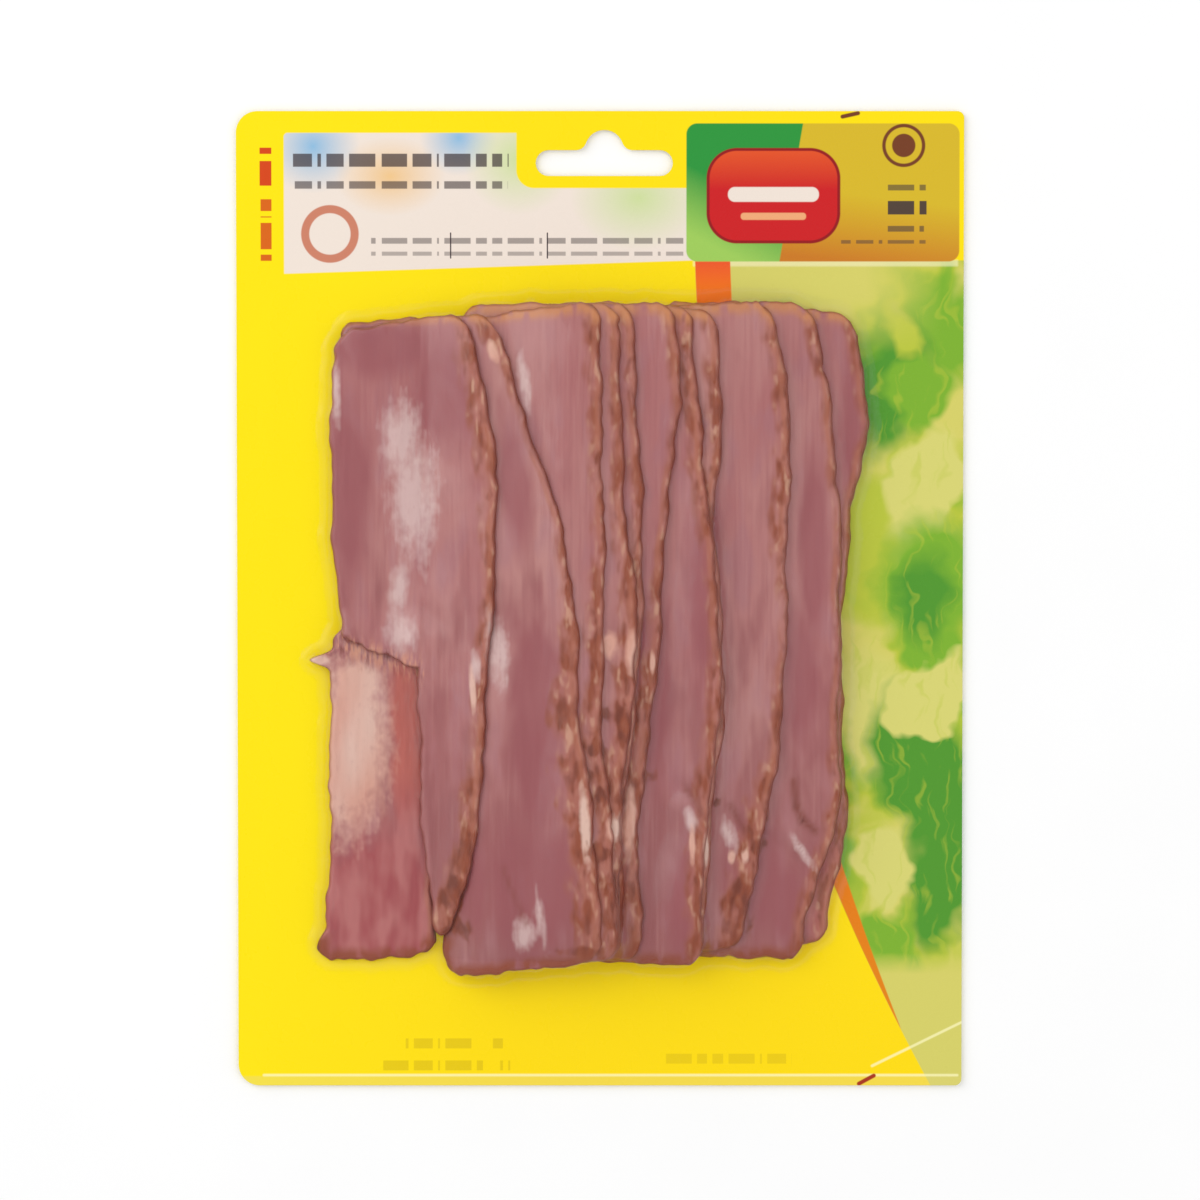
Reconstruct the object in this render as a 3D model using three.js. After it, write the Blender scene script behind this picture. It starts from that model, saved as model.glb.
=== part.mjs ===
// A flat vacuum pack of smoked beef strips, lying on its back with its shown side up.
//
// Frame: millimetres, +Z up. The origin is the middle of the pack's footprint, on the surface that the
// pack lies on. +Y points to the end with the hang slot, and +X to the right as that end is away.
//
// The pack is two bodies. The base web is the stiff printed sheet, with the hang slot through it. The
// sealed strips are the shingled slices of meat with the clear film drawn tight over them, down to the
// web: each slice lies on the next one to its right, so the first is on top and the last at the bottom.

import * as THREE from "three";

const { clamp, lerp, smoothstep } = THREE.MathUtils;

// ---------------------------------------------------------------- driving dimensions, mm

const WEB_WIDTH = 170;
const WEB_LENGTH = 228.4;
const WEB_THICKNESS = 0.6;
const WEB_LEFT_CORNER = 5; // radius of the two corners on the left
const WEB_RIGHT_CORNER = 1.6; // the right side is trimmed almost square

const SLOT_WIDTH = 32; // the usual European hang slot, 32 mm across
const SLOT_HEIGHT = 6;
const SLOT_OFFSET = 1; // how far the slot lies to the right of the pack's middle
const SLOT_BELOW_END = 12.1; // from the end of the web to the slot's centre line
const SLOT_DOME_RADIUS = 4.5; // the round rise in the slot's middle
const SLOT_DOME_CENTRE = 3.2; // height of the dome's centre over the slot's centre line
const SLOT_FILLET = 2.5; // between the dome and the straight part

const SLICE_WIDTH = 37;
const SLICE_LOFT = 2.8; // thickness of a slice on its own
const SLICE_PRESS = 0.115; // how fast a stack of slices is pressed thinner as it grows
const RIM_RADIUS = 1.3; // a slice's edge is rounded over by about half of its thickness
const CORNER_RADIUS = 5; // of a slice's outline
const CLIMB = 10; // length over which a slice climbs onto the edge of the one below it
const EDGE_WAVE = 0.3; // height of the waves along a slice's edge
const LONG_WAVE = 31; // their two lengths
const SHORT_WAVE = 13;

const END_REACH = 15; // length over which the film pulls each end of the stack down
const END_FALL = 0.35; // share of the height that is lost at the very end
const STACK_HEAD = 69; // where the stack ends towards the slot
const STACK_FOOT = -84; // and at the other end
const SKIRT = 1.2; // how far the film stands out at the foot of the stack
const FILM_EDGE = 0.4; // height of the stack's outer edge where nothing else gives it one

// The slices' edges are given at stations along the pack, from the end away from the slot to the slot's.
const STATION_STEP = 23.5;
const FIRST_STATION = -75;
const STATIONS = [0, 1, 2, 3, 4, 5, 6].map((i) => FIRST_STATION + i * STATION_STEP);
const LAST_STATION = STATIONS.at(-1);

// The slices under the top one, from the top down. right: the place of the right edge at each station.
// foot and head: where the slice ends, at its left and at its right side.
const LOWER_SLICES = [
  { right: [-0.1, -1.5, -4.7, -5.6, -9.4, -17.4, -24.5], foot: [-88.2, -84.3], head: [65, 66.8] },
  { right: [4.1, 2.5, 0.4, 0.9, 0.8, 0.3, 0.2], foot: [-85, -83.8], head: [64.9, 70] },
  { right: [4.6, 4.6, 7, 8.6, 6, 4.9, 4.4], foot: [-85, -83.8], head: [69, 69.4] },
  { right: [5.1, 5.1, 7.8, 9.6, 9.8, 8.6, 7.6], foot: [-85, -83.6], head: [69, 69.2] },
  { right: [9.4, 9, 11.9, 14.2, 15.2, 18.2, 17.9], foot: [-84, -83.7], head: [69.3, 69.4] },
  { right: [23.6, 24.7, 27.6, 27.6, 25.4, 23.1, 21.3], foot: [-84.6, -85.2], head: [69, 68.8] },
  { right: [24.4, 25.8, 28.5, 28.3, 26.5, 28.3, 26.8], foot: [-84, -83.4], head: [68.6, 68.2] },
  { right: [33.4, 38.8, 42.3, 43.3, 43.5, 44.2, 40.5], foot: [-82.4, -81.6], head: [68.6, 69.6] },
  { right: [47.5, 55.4, 55.8, 56, 55.9, 54, 50.4], foot: [-82.8, -84.4], head: [69.8, 69.4] },
  { right: [53.2, 57.6, 56.5, 56.6, 58.6, 62.3, 59.5], foot: [-80.5, -80.9], head: [69, 67] },
];

// The top slice has a wide body, torn off slanting at its foot, and a tongue that runs on to the stack's
// foot from the body's right half.
const TOP_RIGHT = [-34, -28.2, -27.1, -25.2, -24, -25.4, -31.5];
const TOP_BODY = {
  left: [-62, -62, -62, -61, -62.8, -62.8, -62.3],
  right: TOP_RIGHT,
  foot: [-9.2, -17.5],
  head: [62.6, 67.6],
};
const TOP_TONGUE = {
  left: [-39.3, -41.7, -42.3, -42.3, -42.3, -42.3, -42.3],
  right: TOP_RIGHT,
  foot: [-79.4, -79.4],
  head: [20, 20],
};

// The short slice that shows beside the tongue, under the body's torn foot, with a tip that sticks out.
const SIDE_SLICE = {
  left: [-64.2, -63.2, -63.4, -62.2, -62.6, -62.6, -62.6],
  right: [-38.6, -39.7, -39.7, -39.7, -39.7, -39.7, -39.7],
  foot: [-84.6, -83.6],
  head: [-6, -6],
};
const TIP_REACH = 5.2;
const TIP_PLACE = -14;
const TIP_WIDTH = 2.6;

// A crease runs slanting over the lower right of the slices.
const CREASE_START = new THREE.Vector2(19, -43.5);
const CREASE_END = new THREE.Vector2(50, -63);
const CREASE_DEPTH = 0.9;
const CREASE_WIDTH = 2.2;

// The grid of the stack's upper face: its lines follow the slices' edges, at these distances from them.
const HAIR = 0.03; // half the width of the step at an edge
const INWARD = [HAIR, 0.3, RIM_RADIUS, 4, 9];
const FIRST_ROW = -74; // the even rows, between those that follow the ends and the torn foot
const LAST_ROW = 58;
const ROWS_BELOW_TEAR = 13;
const ROWS_ABOVE_TEAR = 15;
const TEAR_MARGIN = 6.5; // clear of the rows that follow the torn foot
const SETTLE_ROUNDS = 4; // rounds that find where a leaning row crosses a leaning column
const ARC_STEPS = 6; // half the number of straight lines in each arc of the web's outline

// ---------------------------------------------------------------- base web

function webOutline() {
  const right = WEB_WIDTH / 2;
  const top = WEB_LENGTH / 2;
  const a = WEB_LEFT_CORNER;
  const b = WEB_RIGHT_CORNER;
  const shape = new THREE.Shape();
  shape.absarc(-right + a, -top + a, a, Math.PI, Math.PI * 1.5);
  shape.absarc(right - b, -top + b, b, Math.PI * 1.5, Math.PI * 2);
  shape.absarc(right - b, top - b, b, 0, Math.PI / 2);
  shape.absarc(-right + a, top - a, a, Math.PI / 2, Math.PI);
  return shape;
}

// The slot: two round ends, and a dome over the middle that flows into the straight edge by a fillet.
function slotOutline() {
  const x = SLOT_OFFSET;
  const y = WEB_LENGTH / 2 - SLOT_BELOW_END;
  const r = SLOT_HEIGHT / 2;
  const end = SLOT_WIDTH / 2 - r;
  const rise = r + SLOT_FILLET - SLOT_DOME_CENTRE;
  const reach = Math.sqrt((SLOT_DOME_RADIUS + SLOT_FILLET) ** 2 - rise ** 2);
  const lean = Math.atan2(rise, reach);
  const fillet = y + r + SLOT_FILLET;
  const path = new THREE.Path();
  path.absarc(x + end, y, r, -Math.PI / 2, Math.PI / 2);
  path.absarc(x + reach, fillet, SLOT_FILLET, -Math.PI / 2, lean - Math.PI, true);
  path.absarc(x, y + SLOT_DOME_CENTRE, SLOT_DOME_RADIUS, lean, Math.PI - lean);
  path.absarc(x - reach, fillet, SLOT_FILLET, -lean, -Math.PI / 2, true);
  path.absarc(x - end, y, r, Math.PI / 2, Math.PI * 1.5);
  return path;
}

function baseWeb() {
  const shape = webOutline();
  shape.holes.push(slotOutline());
  return new THREE.ExtrudeGeometry(shape, {
    depth: WEB_THICKNESS,
    bevelEnabled: false,
    curveSegments: ARC_STEPS,
  });
}

// ---------------------------------------------------------------- the slices' outlines

// A smooth line through values given at the stations, with small waves that make a cut edge uneven. The
// phase makes them different for each edge. Past the stations the edge runs straight on.
function edgeLine(values, phase) {
  const line = new THREE.CubicInterpolant(STATIONS, values, 1);
  return (along) => {
    const y = clamp(along, FIRST_STATION, LAST_STATION);
    const long = Math.sin((2 * Math.PI * y) / LONG_WAVE + 1.7 * phase);
    const short = Math.sin((2 * Math.PI * y) / SHORT_WAVE + 2.9 * phase);
    return line.evaluate(y)[0] + EDGE_WAVE * (long + 0.6 * short);
  };
}

// Gives a slice its edges as functions. A slice without a left edge of its own is SLICE_WIDTH wide, and
// its left edge is hidden under the slices over it.
function withEdges(slice, phase) {
  const rightAt = edgeLine(slice.right, phase);
  const leftAt = slice.left ? edgeLine(slice.left, phase + 0.5) : (y) => rightAt(y) - SLICE_WIDTH;
  const endAt = ([left, right], station) => {
    const start = leftAt(station);
    const width = rightAt(station) - start;
    return (x) => lerp(left, right, clamp((x - start) / width, 0, 1));
  };
  const footAt = endAt(slice.foot, FIRST_STATION);
  const headAt = endAt(slice.head, LAST_STATION);
  return { leftAt, rightAt, footAt, headAt };
}

const lower = LOWER_SLICES.map((slice, i) => withEdges(slice, i + 2));
const body = withEdges(TOP_BODY, 1);
const tongue = withEdges(TOP_TONGUE, 1);
const plainSide = withEdges(SIDE_SLICE, 0);
const side = {
  ...plainSide,
  leftAt: (y) => plainSide.leftAt(y) - TIP_REACH * Math.exp(-(((y - TIP_PLACE) / TIP_WIDTH) ** 2)),
};

// How far a corner's arc cuts into the outline, at a distance from the slice's side.
function cornerCut(toSide) {
  const near = CORNER_RADIUS - clamp(toSide, 0, CORNER_RADIUS);
  return CORNER_RADIUS - Math.sqrt(CORNER_RADIUS ** 2 - near ** 2);
}

// How far inside a slice's outline a point lies, or less than 0 outside of it.
function insideOf(slice, x, y) {
  const toSide = Math.min(x - slice.leftAt(y), slice.rightAt(y) - x);
  const toEnd = Math.min(y - slice.footAt(x), slice.headAt(x) - y);
  if (toSide > CORNER_RADIUS || toEnd > CORNER_RADIUS) return Math.min(toSide, toEnd);
  return CORNER_RADIUS - Math.hypot(CORNER_RADIUS - toSide, CORNER_RADIUS - toEnd);
}

// ---------------------------------------------------------------- heights

// How many of the given slices lie under a point, counted smoothly: a slice climbs onto each edge.
function slicesUnder(x, y, slices) {
  let count = 0;
  for (const slice of slices) {
    const edge = slice.leftAt(y);
    count += smoothstep(x, edge - CLIMB / 2, edge + CLIMB / 2);
  }
  return count;
}

// 1 over the side slice and 0 away from it, where the slice over it lies lower again.
function overSide(x, y) {
  const right = side.rightAt(y);
  const head = side.headAt(x);
  const across = 1 - smoothstep(x, right - CLIMB / 2, right + CLIMB / 2);
  return across * (1 - smoothstep(y, head - CLIMB / 2, head + CLIMB / 2));
}

// The upper face of a stack of slices. The film presses it together, and pulls it down at its two ends.
function stackHeight(slices, y) {
  const toEnd = Math.max(Math.min(STACK_HEAD - y, y - STACK_FOOT), 0);
  const fall = END_FALL * (1 - Math.min(toEnd / END_REACH, 1)) ** 2;
  return (1 - fall) * (SLICE_LOFT * slices - SLICE_PRESS * slices ** 2);
}

function rimDrop(inside) {
  const near = 1 - Math.min(inside / RIM_RADIUS, 1);
  return RIM_RADIUS * (1 - Math.sqrt(1 - near ** 2));
}

function creaseDepth(x, y) {
  const line = new THREE.Line3(new THREE.Vector3(...CREASE_START), new THREE.Vector3(...CREASE_END));
  const point = new THREE.Vector3(x, y, 0);
  const nearest = line.closestPointToPoint(point, true, new THREE.Vector3());
  return CREASE_DEPTH * Math.exp(-((point.distanceTo(nearest) / CREASE_WIDTH) ** 2));
}

// Each slice with the number of slices up to its upper face, itself among them.
const stack = [
  [side, () => 1],
  [body, (x, y) => 1 + slicesUnder(x, y, lower) + overSide(x, y)],
  [tongue, (x, y) => 1 + slicesUnder(x, y, lower) + overSide(x, y)],
  ...lower.map((slice, i) => [slice, (x, y) => 1 + slicesUnder(x, y, lower.slice(i + 1))]),
];

// The stack's upper face: the highest of the slices that lie at a point.
function faceHeight(x, y) {
  let height = FILM_EDGE;
  for (const [slice, layersAt] of stack) {
    const inside = insideOf(slice, x, y);
    if (inside < 0) continue;
    const face = stackHeight(layersAt(x, y), y) - rimDrop(inside) - creaseDepth(x, y);
    height = Math.max(height, face);
  }
  return WEB_THICKNESS + height;
}

// ---------------------------------------------------------------- the stack's grid

// The stack's own outline: the torn foot of the body divides the left side.
const leftOutline = (y) => (y > body.footAt(body.leftAt(y)) ? body.leftAt(y) : side.leftAt(y));
const rightOutline = (y) => lower.at(-1).rightAt(y);

// The outline at one end of the stack: that of the slice that reaches furthest. sign is 1 at the foot.
function endOutline(place, endOf, station, sign) {
  const x = clamp(place, leftOutline(station), rightOutline(station));
  const ends = stack.map(([slice]) => {
    const toSide = Math.min(x - slice.leftAt(station), slice.rightAt(station) - x);
    return toSide < 0 ? Infinity : sign * slice[endOf](x) + cornerCut(toSide);
  });
  return sign * Math.min(...ends);
}
const footOutline = (x) => endOutline(x, "footAt", FIRST_STATION, 1);
const headOutline = (x) => endOutline(x, "headAt", LAST_STATION, -1);

// The columns are lines along the pack, beside the edges that can be seen.
const columns = [
  ...[0, ...INWARD].map((inward) => (y) => leftOutline(y) + inward),
  ...[-HAIR, ...INWARD].map((inward) => (y) => tongue.leftAt(y) + inward),
  ...[body, ...lower].flatMap((slice) => [-HAIR, ...INWARD].map((inward) => (y) => slice.rightAt(y) - inward)),
];

// The rows are lines across the pack: along its two ends, along the torn foot, and even between them.
const tear = (x) => body.footAt(Math.min(x, tongue.leftAt(TIP_PLACE)));
const evenRows = (from, to, count) =>
  Array.from({ length: count }, (_, i) => () => lerp(from, to, i / (count - 1)));
const rows = [
  ...[0, ...INWARD.slice(1, 3)].map((inward) => (x) => footOutline(x) + inward),
  ...evenRows(FIRST_ROW, TOP_BODY.foot[1] - TEAR_MARGIN, ROWS_BELOW_TEAR),
  ...[-INWARD[3], -RIM_RADIUS, -HAIR, ...INWARD.slice(0, 4)].map((inward) => (x) => tear(x) + inward),
  ...evenRows(TOP_BODY.foot[0] + TEAR_MARGIN, LAST_ROW, ROWS_ABOVE_TEAR),
  ...[0, ...INWARD.slice(1, 3)].reverse().map((inward) => (x) => headOutline(x) - inward),
];

// Sorts the places along a row and keeps them inside the outline, a hair or more from each other.
function spaced(places, leftY, rightY) {
  const sorted = places.sort((a, b) => a - b);
  const last = sorted.length - 1;
  sorted[0] = leftOutline(leftY);
  sorted[last] = rightOutline(rightY);
  for (let i = 1; i < last; i++) sorted[i] = Math.max(sorted[i], sorted[i - 1] + HAIR);
  for (let i = last - 1; i > 0; i--) sorted[i] = Math.min(sorted[i], sorted[i + 1] - HAIR);
  return sorted;
}

// The points where a row crosses the columns, from left to right.
function rowPoints(row) {
  let ys = columns.map(() => row(0));
  let xs = [];
  for (let round = 0; round < SETTLE_ROUNDS; round++) {
    const places = columns.map((column, i) => column(ys[i]));
    xs = spaced(places, ys[0], ys.at(-1));
    ys = xs.map((x) => row(x));
  }
  return xs.map((x, i) => new THREE.Vector3(x, ys[i], faceHeight(x, ys[i])));
}

function sealedStrips() {
  const face = rows.map(rowPoints);
  const width = columns.length;
  const points = face.flat();
  const triangles = [];
  for (let j = 0; j + 1 < face.length; j++) {
    for (let i = 0; i + 1 < width; i++) {
      const a = j * width + i;
      triangles.push(a, a + 1, a + width + 1, a, a + width + 1, a + width);
    }
  }
  addWallAndFloor(points, triangles, width, face.length);
  const geometry = new THREE.BufferGeometry().setFromPoints(points);
  geometry.setIndex(triangles);
  geometry.computeVertexNormals();
  return geometry;
}

// Closes the face downwards: a skirt runs out to the web all round, and the underside lies on the web.
function addWallAndFloor(points, triangles, width, height) {
  const last = width * height - 1;
  const ring = [];
  for (let i = 0; i < width - 1; i++) ring.push(i);
  for (let j = 0; j < height - 1; j++) ring.push(j * width + width - 1);
  for (let i = 0; i < width - 1; i++) ring.push(last - i);
  for (let j = height - 1; j > 0; j--) ring.push(j * width);
  const start = points.length;
  for (const index of ring) {
    const column = index % width;
    const row = Math.floor(index / width);
    const out = (place, count) => (place === 0 ? -SKIRT : place === count - 1 ? SKIRT : 0);
    const shift = new THREE.Vector3(out(column, width), out(row, height), 0);
    points.push(points[index].clone().add(shift).setZ(WEB_THICKNESS));
  }
  for (let i = 0; i < ring.length; i++) {
    const next = (i + 1) % ring.length;
    triangles.push(ring[i], start + i, start + next, ring[i], start + next, ring[next]);
  }
  const floor = points.slice(start).map((point) => new THREE.Vector2(point.x, point.y));
  for (const [a, b, c] of THREE.ShapeUtils.triangulateShape(floor, [])) {
    triangles.push(start + a, start + c, start + b);
  }
}

// ---------------------------------------------------------------- the pack

function piece(name, geometry, color, roughness) {
  const material = new THREE.MeshStandardMaterial({ color, roughness, metalness: 0 });
  const mesh = new THREE.Mesh(geometry, material);
  mesh.name = name;
  return mesh;
}

const pack = new THREE.Group();
pack.add(piece("base_web", baseWeb(), 0xfde211, 0.35));
pack.add(piece("sealed_strips", sealedStrips(), 0xa97471, 0.3));

export default pack;
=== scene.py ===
# %% [markdown]
# # A vacuum pack of smoked beef strips
#
# The real thing is a flat chilled pack. A stiff printed sheet, the base web, lies at the back. Twelve thin
# slices of smoked meat lie on it, each on the next one to its right, and a clear film is drawn tight over
# them and sealed to the web all round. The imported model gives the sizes: this script dresses it, in metres,
# in the same frame, with the pack lying on its back, its shown side up and its hang slot towards +Y.

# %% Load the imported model
import math

import bpy
import numpy as np
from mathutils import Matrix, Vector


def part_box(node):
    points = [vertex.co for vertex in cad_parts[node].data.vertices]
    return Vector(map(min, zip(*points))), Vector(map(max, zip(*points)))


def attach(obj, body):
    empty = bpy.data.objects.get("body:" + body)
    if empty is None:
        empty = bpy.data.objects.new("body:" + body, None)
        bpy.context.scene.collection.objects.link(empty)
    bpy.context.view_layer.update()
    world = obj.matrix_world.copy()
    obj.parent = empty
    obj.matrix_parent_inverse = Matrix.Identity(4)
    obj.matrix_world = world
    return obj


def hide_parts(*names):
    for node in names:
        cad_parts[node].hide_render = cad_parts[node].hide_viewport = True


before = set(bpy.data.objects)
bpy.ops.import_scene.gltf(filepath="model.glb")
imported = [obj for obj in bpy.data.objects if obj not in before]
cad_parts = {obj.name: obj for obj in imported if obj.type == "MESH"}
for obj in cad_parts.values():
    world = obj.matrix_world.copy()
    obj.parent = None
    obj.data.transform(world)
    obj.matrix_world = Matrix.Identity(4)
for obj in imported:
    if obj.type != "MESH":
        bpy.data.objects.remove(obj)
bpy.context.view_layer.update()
web_low, web_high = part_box("base_web")
strips_low, strips_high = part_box("sealed_strips")
print("web", [round(v * 1000, 1) for v in web_high - web_low], "mm")
print("strips", [round(v * 1000, 1) for v in strips_high - strips_low], "mm")

# %% [markdown]
# ## Units and small helpers
#
# The sizes below are in millimetres, as a maker would give them, and only the finished meshes are in
# metres. A mesh operator acts on whatever is selected, so one helper selects a single object, and two more
# read and write the places of a mesh's points all at once. The web, the slices and the film all start as
# grids, and the first two become slabs, so these steps are helpers too.

# %% Units and helpers
MM = 0.001


def select_only(thing):
    bpy.ops.object.select_all(action="DESELECT")
    thing.select_set(True)
    bpy.context.view_layer.objects.active = thing


def points_of(thing):
    """The places of a mesh's points, in millimetres, one row each."""
    flat = np.empty(len(thing.data.vertices) * 3)
    thing.data.vertices.foreach_get("co", flat)
    return flat.reshape(-1, 3) / MM


def place_points(thing, points):
    thing.data.vertices.foreach_set("co", (points * MM).ravel())
    thing.data.update()


def store(thing, name, kind, values):
    """Keeps one value or one vector for each point, where a material can read it."""
    attribute = thing.data.attributes.new(name, kind, "POINT")
    key = "value" if kind == "FLOAT" else "vector"
    attribute.data.foreach_set(key, np.asarray(values, float).ravel())


def smoothstep(value, low, high):
    t = np.clip((value - low) / (high - low), 0, 1)
    return t * t * (3 - 2 * t)


def blend(a, b, share):
    return a + (b - a) * share


# %% Grids and slabs
def add_grid(name, columns, rows):
    """A flat square grid, one unit wide, as the only thing selected."""
    bpy.ops.object.select_all(action="DESELECT")
    bpy.ops.mesh.primitive_grid_add(x_subdivisions=columns, y_subdivisions=rows, size=1)
    grid = bpy.context.object
    grid.name = name
    return grid


def raise_to_slab(height):
    """Extrudes the selected faces upwards, turns all faces outwards and leaves edit mode."""
    bpy.ops.mesh.extrude_region_move(TRANSFORM_OT_translate={"value": (0, 0, height)})
    bpy.ops.mesh.select_all(action="SELECT")
    bpy.ops.mesh.normals_make_consistent(inside=False)
    bpy.ops.object.mode_set(mode="OBJECT")


# %% [markdown]
# ## Camera and light
#
# The photograph looks straight down on the pack from some way off: the end with the slot comes out a little
# wider than the other, so the camera leans two degrees. Soft light comes from all round, with one large
# lamp from the upper left that draws the edges of the slices, and a weaker one from the right.

# %% Camera
VIEW_WIDTH = 281.4 * MM  # what the photograph shows from side to side
CAMERA_DISTANCE = 1.0
CAMERA_LEAN = math.radians(2)
SENSOR_WIDTH = 36

camera_data = bpy.data.cameras.new("camera")
camera_data.sensor_width = SENSOR_WIDTH
camera_data.lens = SENSOR_WIDTH * CAMERA_DISTANCE / VIEW_WIDTH
camera = bpy.data.objects.new("camera", camera_data)
camera.location = (0, CAMERA_DISTANCE * math.sin(CAMERA_LEAN), CAMERA_DISTANCE * math.cos(CAMERA_LEAN))
camera.rotation_euler = (-CAMERA_LEAN, 0, 0)
bpy.context.scene.collection.objects.link(camera)
bpy.context.scene.camera = camera
bpy.context.scene.view_settings.view_transform = "Standard"
print("lens", round(camera_data.lens, 1), "mm")

# %% Lamps
def soft_lamp(name, place, size, watts):
    """A square lamp that faces the pack."""
    bpy.ops.object.light_add(type="AREA", location=place)
    lamp = bpy.context.object
    lamp.name = name
    lamp.data.shape = "SQUARE"
    lamp.data.size = size
    lamp.data.energy = watts
    lamp.rotation_euler = (-lamp.location).to_track_quat("-Z", "Y").to_euler()
    print(name, watts, "W")


LAMP_SIZE = 1.1
WORLD_STRENGTH = 0.73

soft_lamp("key_lamp", (-0.85, 0.55, 0.75), LAMP_SIZE, 6.4)
soft_lamp("fill_lamp", (0.95, -0.25, 0.8), LAMP_SIZE, 3)
world = bpy.data.worlds.new("studio")
world.use_nodes = True
background = world.node_tree.nodes["Background"]
background.inputs["Color"].default_value = (1, 1, 1, 1)
background.inputs["Strength"].default_value = WORLD_STRENGTH
bpy.context.scene.world = world

# %% [markdown]
# ## How the finishes are written
#
# A material is a graph of nodes. To keep its maths readable, one small class stands for the output of a
# node and turns sums and products of such outputs into Math nodes. Another class stands for the material.
# It has one method that adds any kind of node: its settings come first, and then the values or links of its
# sockets.

# %% Sockets that can be reckoned with
class Socket:
    """The output of a node. Arithmetic on it adds Math nodes."""

    def __init__(self, finish, output):
        self.finish = finish
        self.output = output

    def sibling(self, name):
        """Another output of the same node."""
        return Socket(self.finish, self.output.node.outputs[name])

    def math(self, operation, *others):
        return self.finish.add("ShaderNodeMath", {"operation": operation}, dict(enumerate((self, *others))))

    def __add__(self, other):
        return self.math("ADD", other)

    __radd__ = __add__

    def __sub__(self, other):
        return self.math("SUBTRACT", other)

    def __rsub__(self, other):
        return (self * -1).math("ADD", other)

    def __mul__(self, other):
        return self.math("MULTIPLY", other)

    __rmul__ = __mul__

    def __truediv__(self, other):
        return self.math("DIVIDE", other)

    def __pow__(self, other):
        return self.math("POWER", other)

    def __abs__(self):
        return self.math("ABSOLUTE")

    def at_least(self, other):
        return self.math("MAXIMUM", other)

    def at_most(self, other):
        return self.math("MINIMUM", other)

    def ramp(self, low, high):
        """0 below low and 1 above high, or the other way round where low is the larger one."""
        sockets = {"Value": self, "From Min": low, "From Max": high}
        return self.finish.add("ShaderNodeMapRange", {"clamp": True}, sockets)


# %% Colours
def colour(red, green, blue):
    """A colour as a screen shows it, from 0 to 255, as the linear values that a shader reads."""
    shares = [value / 255 for value in (red, green, blue)]
    linear = [s / 12.92 if s <= 0.04045 else ((s + 0.055) / 1.055) ** 2.4 for s in shares]
    return (*linear, 1.0)


# %% Materials under construction
MIX_FACTOR, MIX_A, MIX_B, MIX_COLOUR_OUT = 0, 6, 7, 2  # sockets of a Mix node that is set to colours


class Finish:
    """One material, built node by node."""

    def __init__(self, name):
        self.material = bpy.data.materials.new(name)
        self.material.use_nodes = True
        self.tree = self.material.node_tree
        self.tree.nodes.clear()

    def add(self, kind, settings=None, sockets=None, output=0):
        node = self.tree.nodes.new(kind)
        for name, value in (settings or {}).items():
            if name == "stops":
                self.set_stops(node.color_ramp, value)
            else:
                setattr(node, name, value)
        for name, value in (sockets or {}).items():
            if isinstance(value, Socket):
                self.tree.links.new(value.output, node.inputs[name])
            else:
                node.inputs[name].default_value = value
        return None if output is None else Socket(self, node.outputs[output])

    def set_stops(self, ramp, stops):
        while len(ramp.elements) < len(stops):
            ramp.elements.new(1.0)
        for element, (place, shade) in zip(ramp.elements, stops):
            element.position = place
            element.color = shade

    def mix(self, share, a, b):
        """Colour a where share is 0, and b where it is 1."""
        settings = {"data_type": "RGBA", "clamp_factor": True}
        return self.add("ShaderNodeMix", settings, {MIX_FACTOR: share, MIX_A: a, MIX_B: b}, MIX_COLOUR_OUT)

    def layered(self, shade, layers):
        """The shade with inks laid over it in turn, each as strongly as its mask says."""
        for mask, ink in layers:
            shade = self.mix(mask, shade, ink)
        return shade

    def parts(self, vector):
        x = self.add("ShaderNodeSeparateXYZ", sockets={0: vector})
        return x, x.sibling("Y"), x.sibling("Z")

    def place(self):
        """The place on the object, in millimetres, as x, y and z."""
        sockets = {0: self.add("ShaderNodeTexCoord", output="Object"), "Scale": 1 / MM}
        return self.parts(self.add("ShaderNodeVectorMath", {"operation": "SCALE"}, sockets))

    def stored(self, name):
        """The three values that a mesh stores under this name."""
        return self.parts(self.add("ShaderNodeAttribute", {"attribute_name": name}, output="Vector"))

    def noise(self, x, y, z=0.0, detail=2.0, roughness=0.5):
        """Cloudy noise from about 0.25 to 0.75. One unit of x, y and z is the size of a cloud."""
        where = self.add("ShaderNodeCombineXYZ", sockets={"X": x, "Y": y, "Z": z})
        sockets = {"Vector": where, "Scale": 1.0, "Detail": detail, "Roughness": roughness}
        return self.add("ShaderNodeTexNoise", {"noise_dimensions": "3D"}, sockets)

    def bump(self, height, strength, distance):
        sockets = {"Strength": strength, "Distance": distance, "Height": height}
        return self.add("ShaderNodeBump", sockets=sockets)

    def end(self, shader):
        """Makes this shader the surface."""
        self.add("ShaderNodeOutputMaterial", sockets={"Surface": shader}, output=None)
        print(self.material.name, len(self.tree.nodes), "nodes")
        return self.material

    def end_with_principled(self, sockets):
        return self.end(self.add("ShaderNodeBsdfPrincipled", sockets=sockets))


# %% [markdown]
# ## Floor
#
# A plain white sheet of paper under the pack, with the faintest grain.

# %% Floor
FLOOR_SIZE = 6.0
FLOOR_DROP = 0.05 * MM  # just under the pack, so that the two faces don't share a plane
PAPER_GRAIN = 40

bpy.ops.object.select_all(action="DESELECT")
bpy.ops.mesh.primitive_plane_add(size=FLOOR_SIZE, location=(0, 0, -FLOOR_DROP))
floor = bpy.context.object
floor.name = "floor"
paper = Finish("white_paper")
x, y, _ = paper.place()
grain = paper.noise(x / PAPER_GRAIN, y / PAPER_GRAIN)
white = paper.mix(grain, colour(252, 252, 252), colour(255, 255, 255))
paper.end_with_principled({"Base Color": white, "Roughness": 0.9, "Specular IOR Level": 0.1})
floor.data.materials.append(paper.material)

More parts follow.
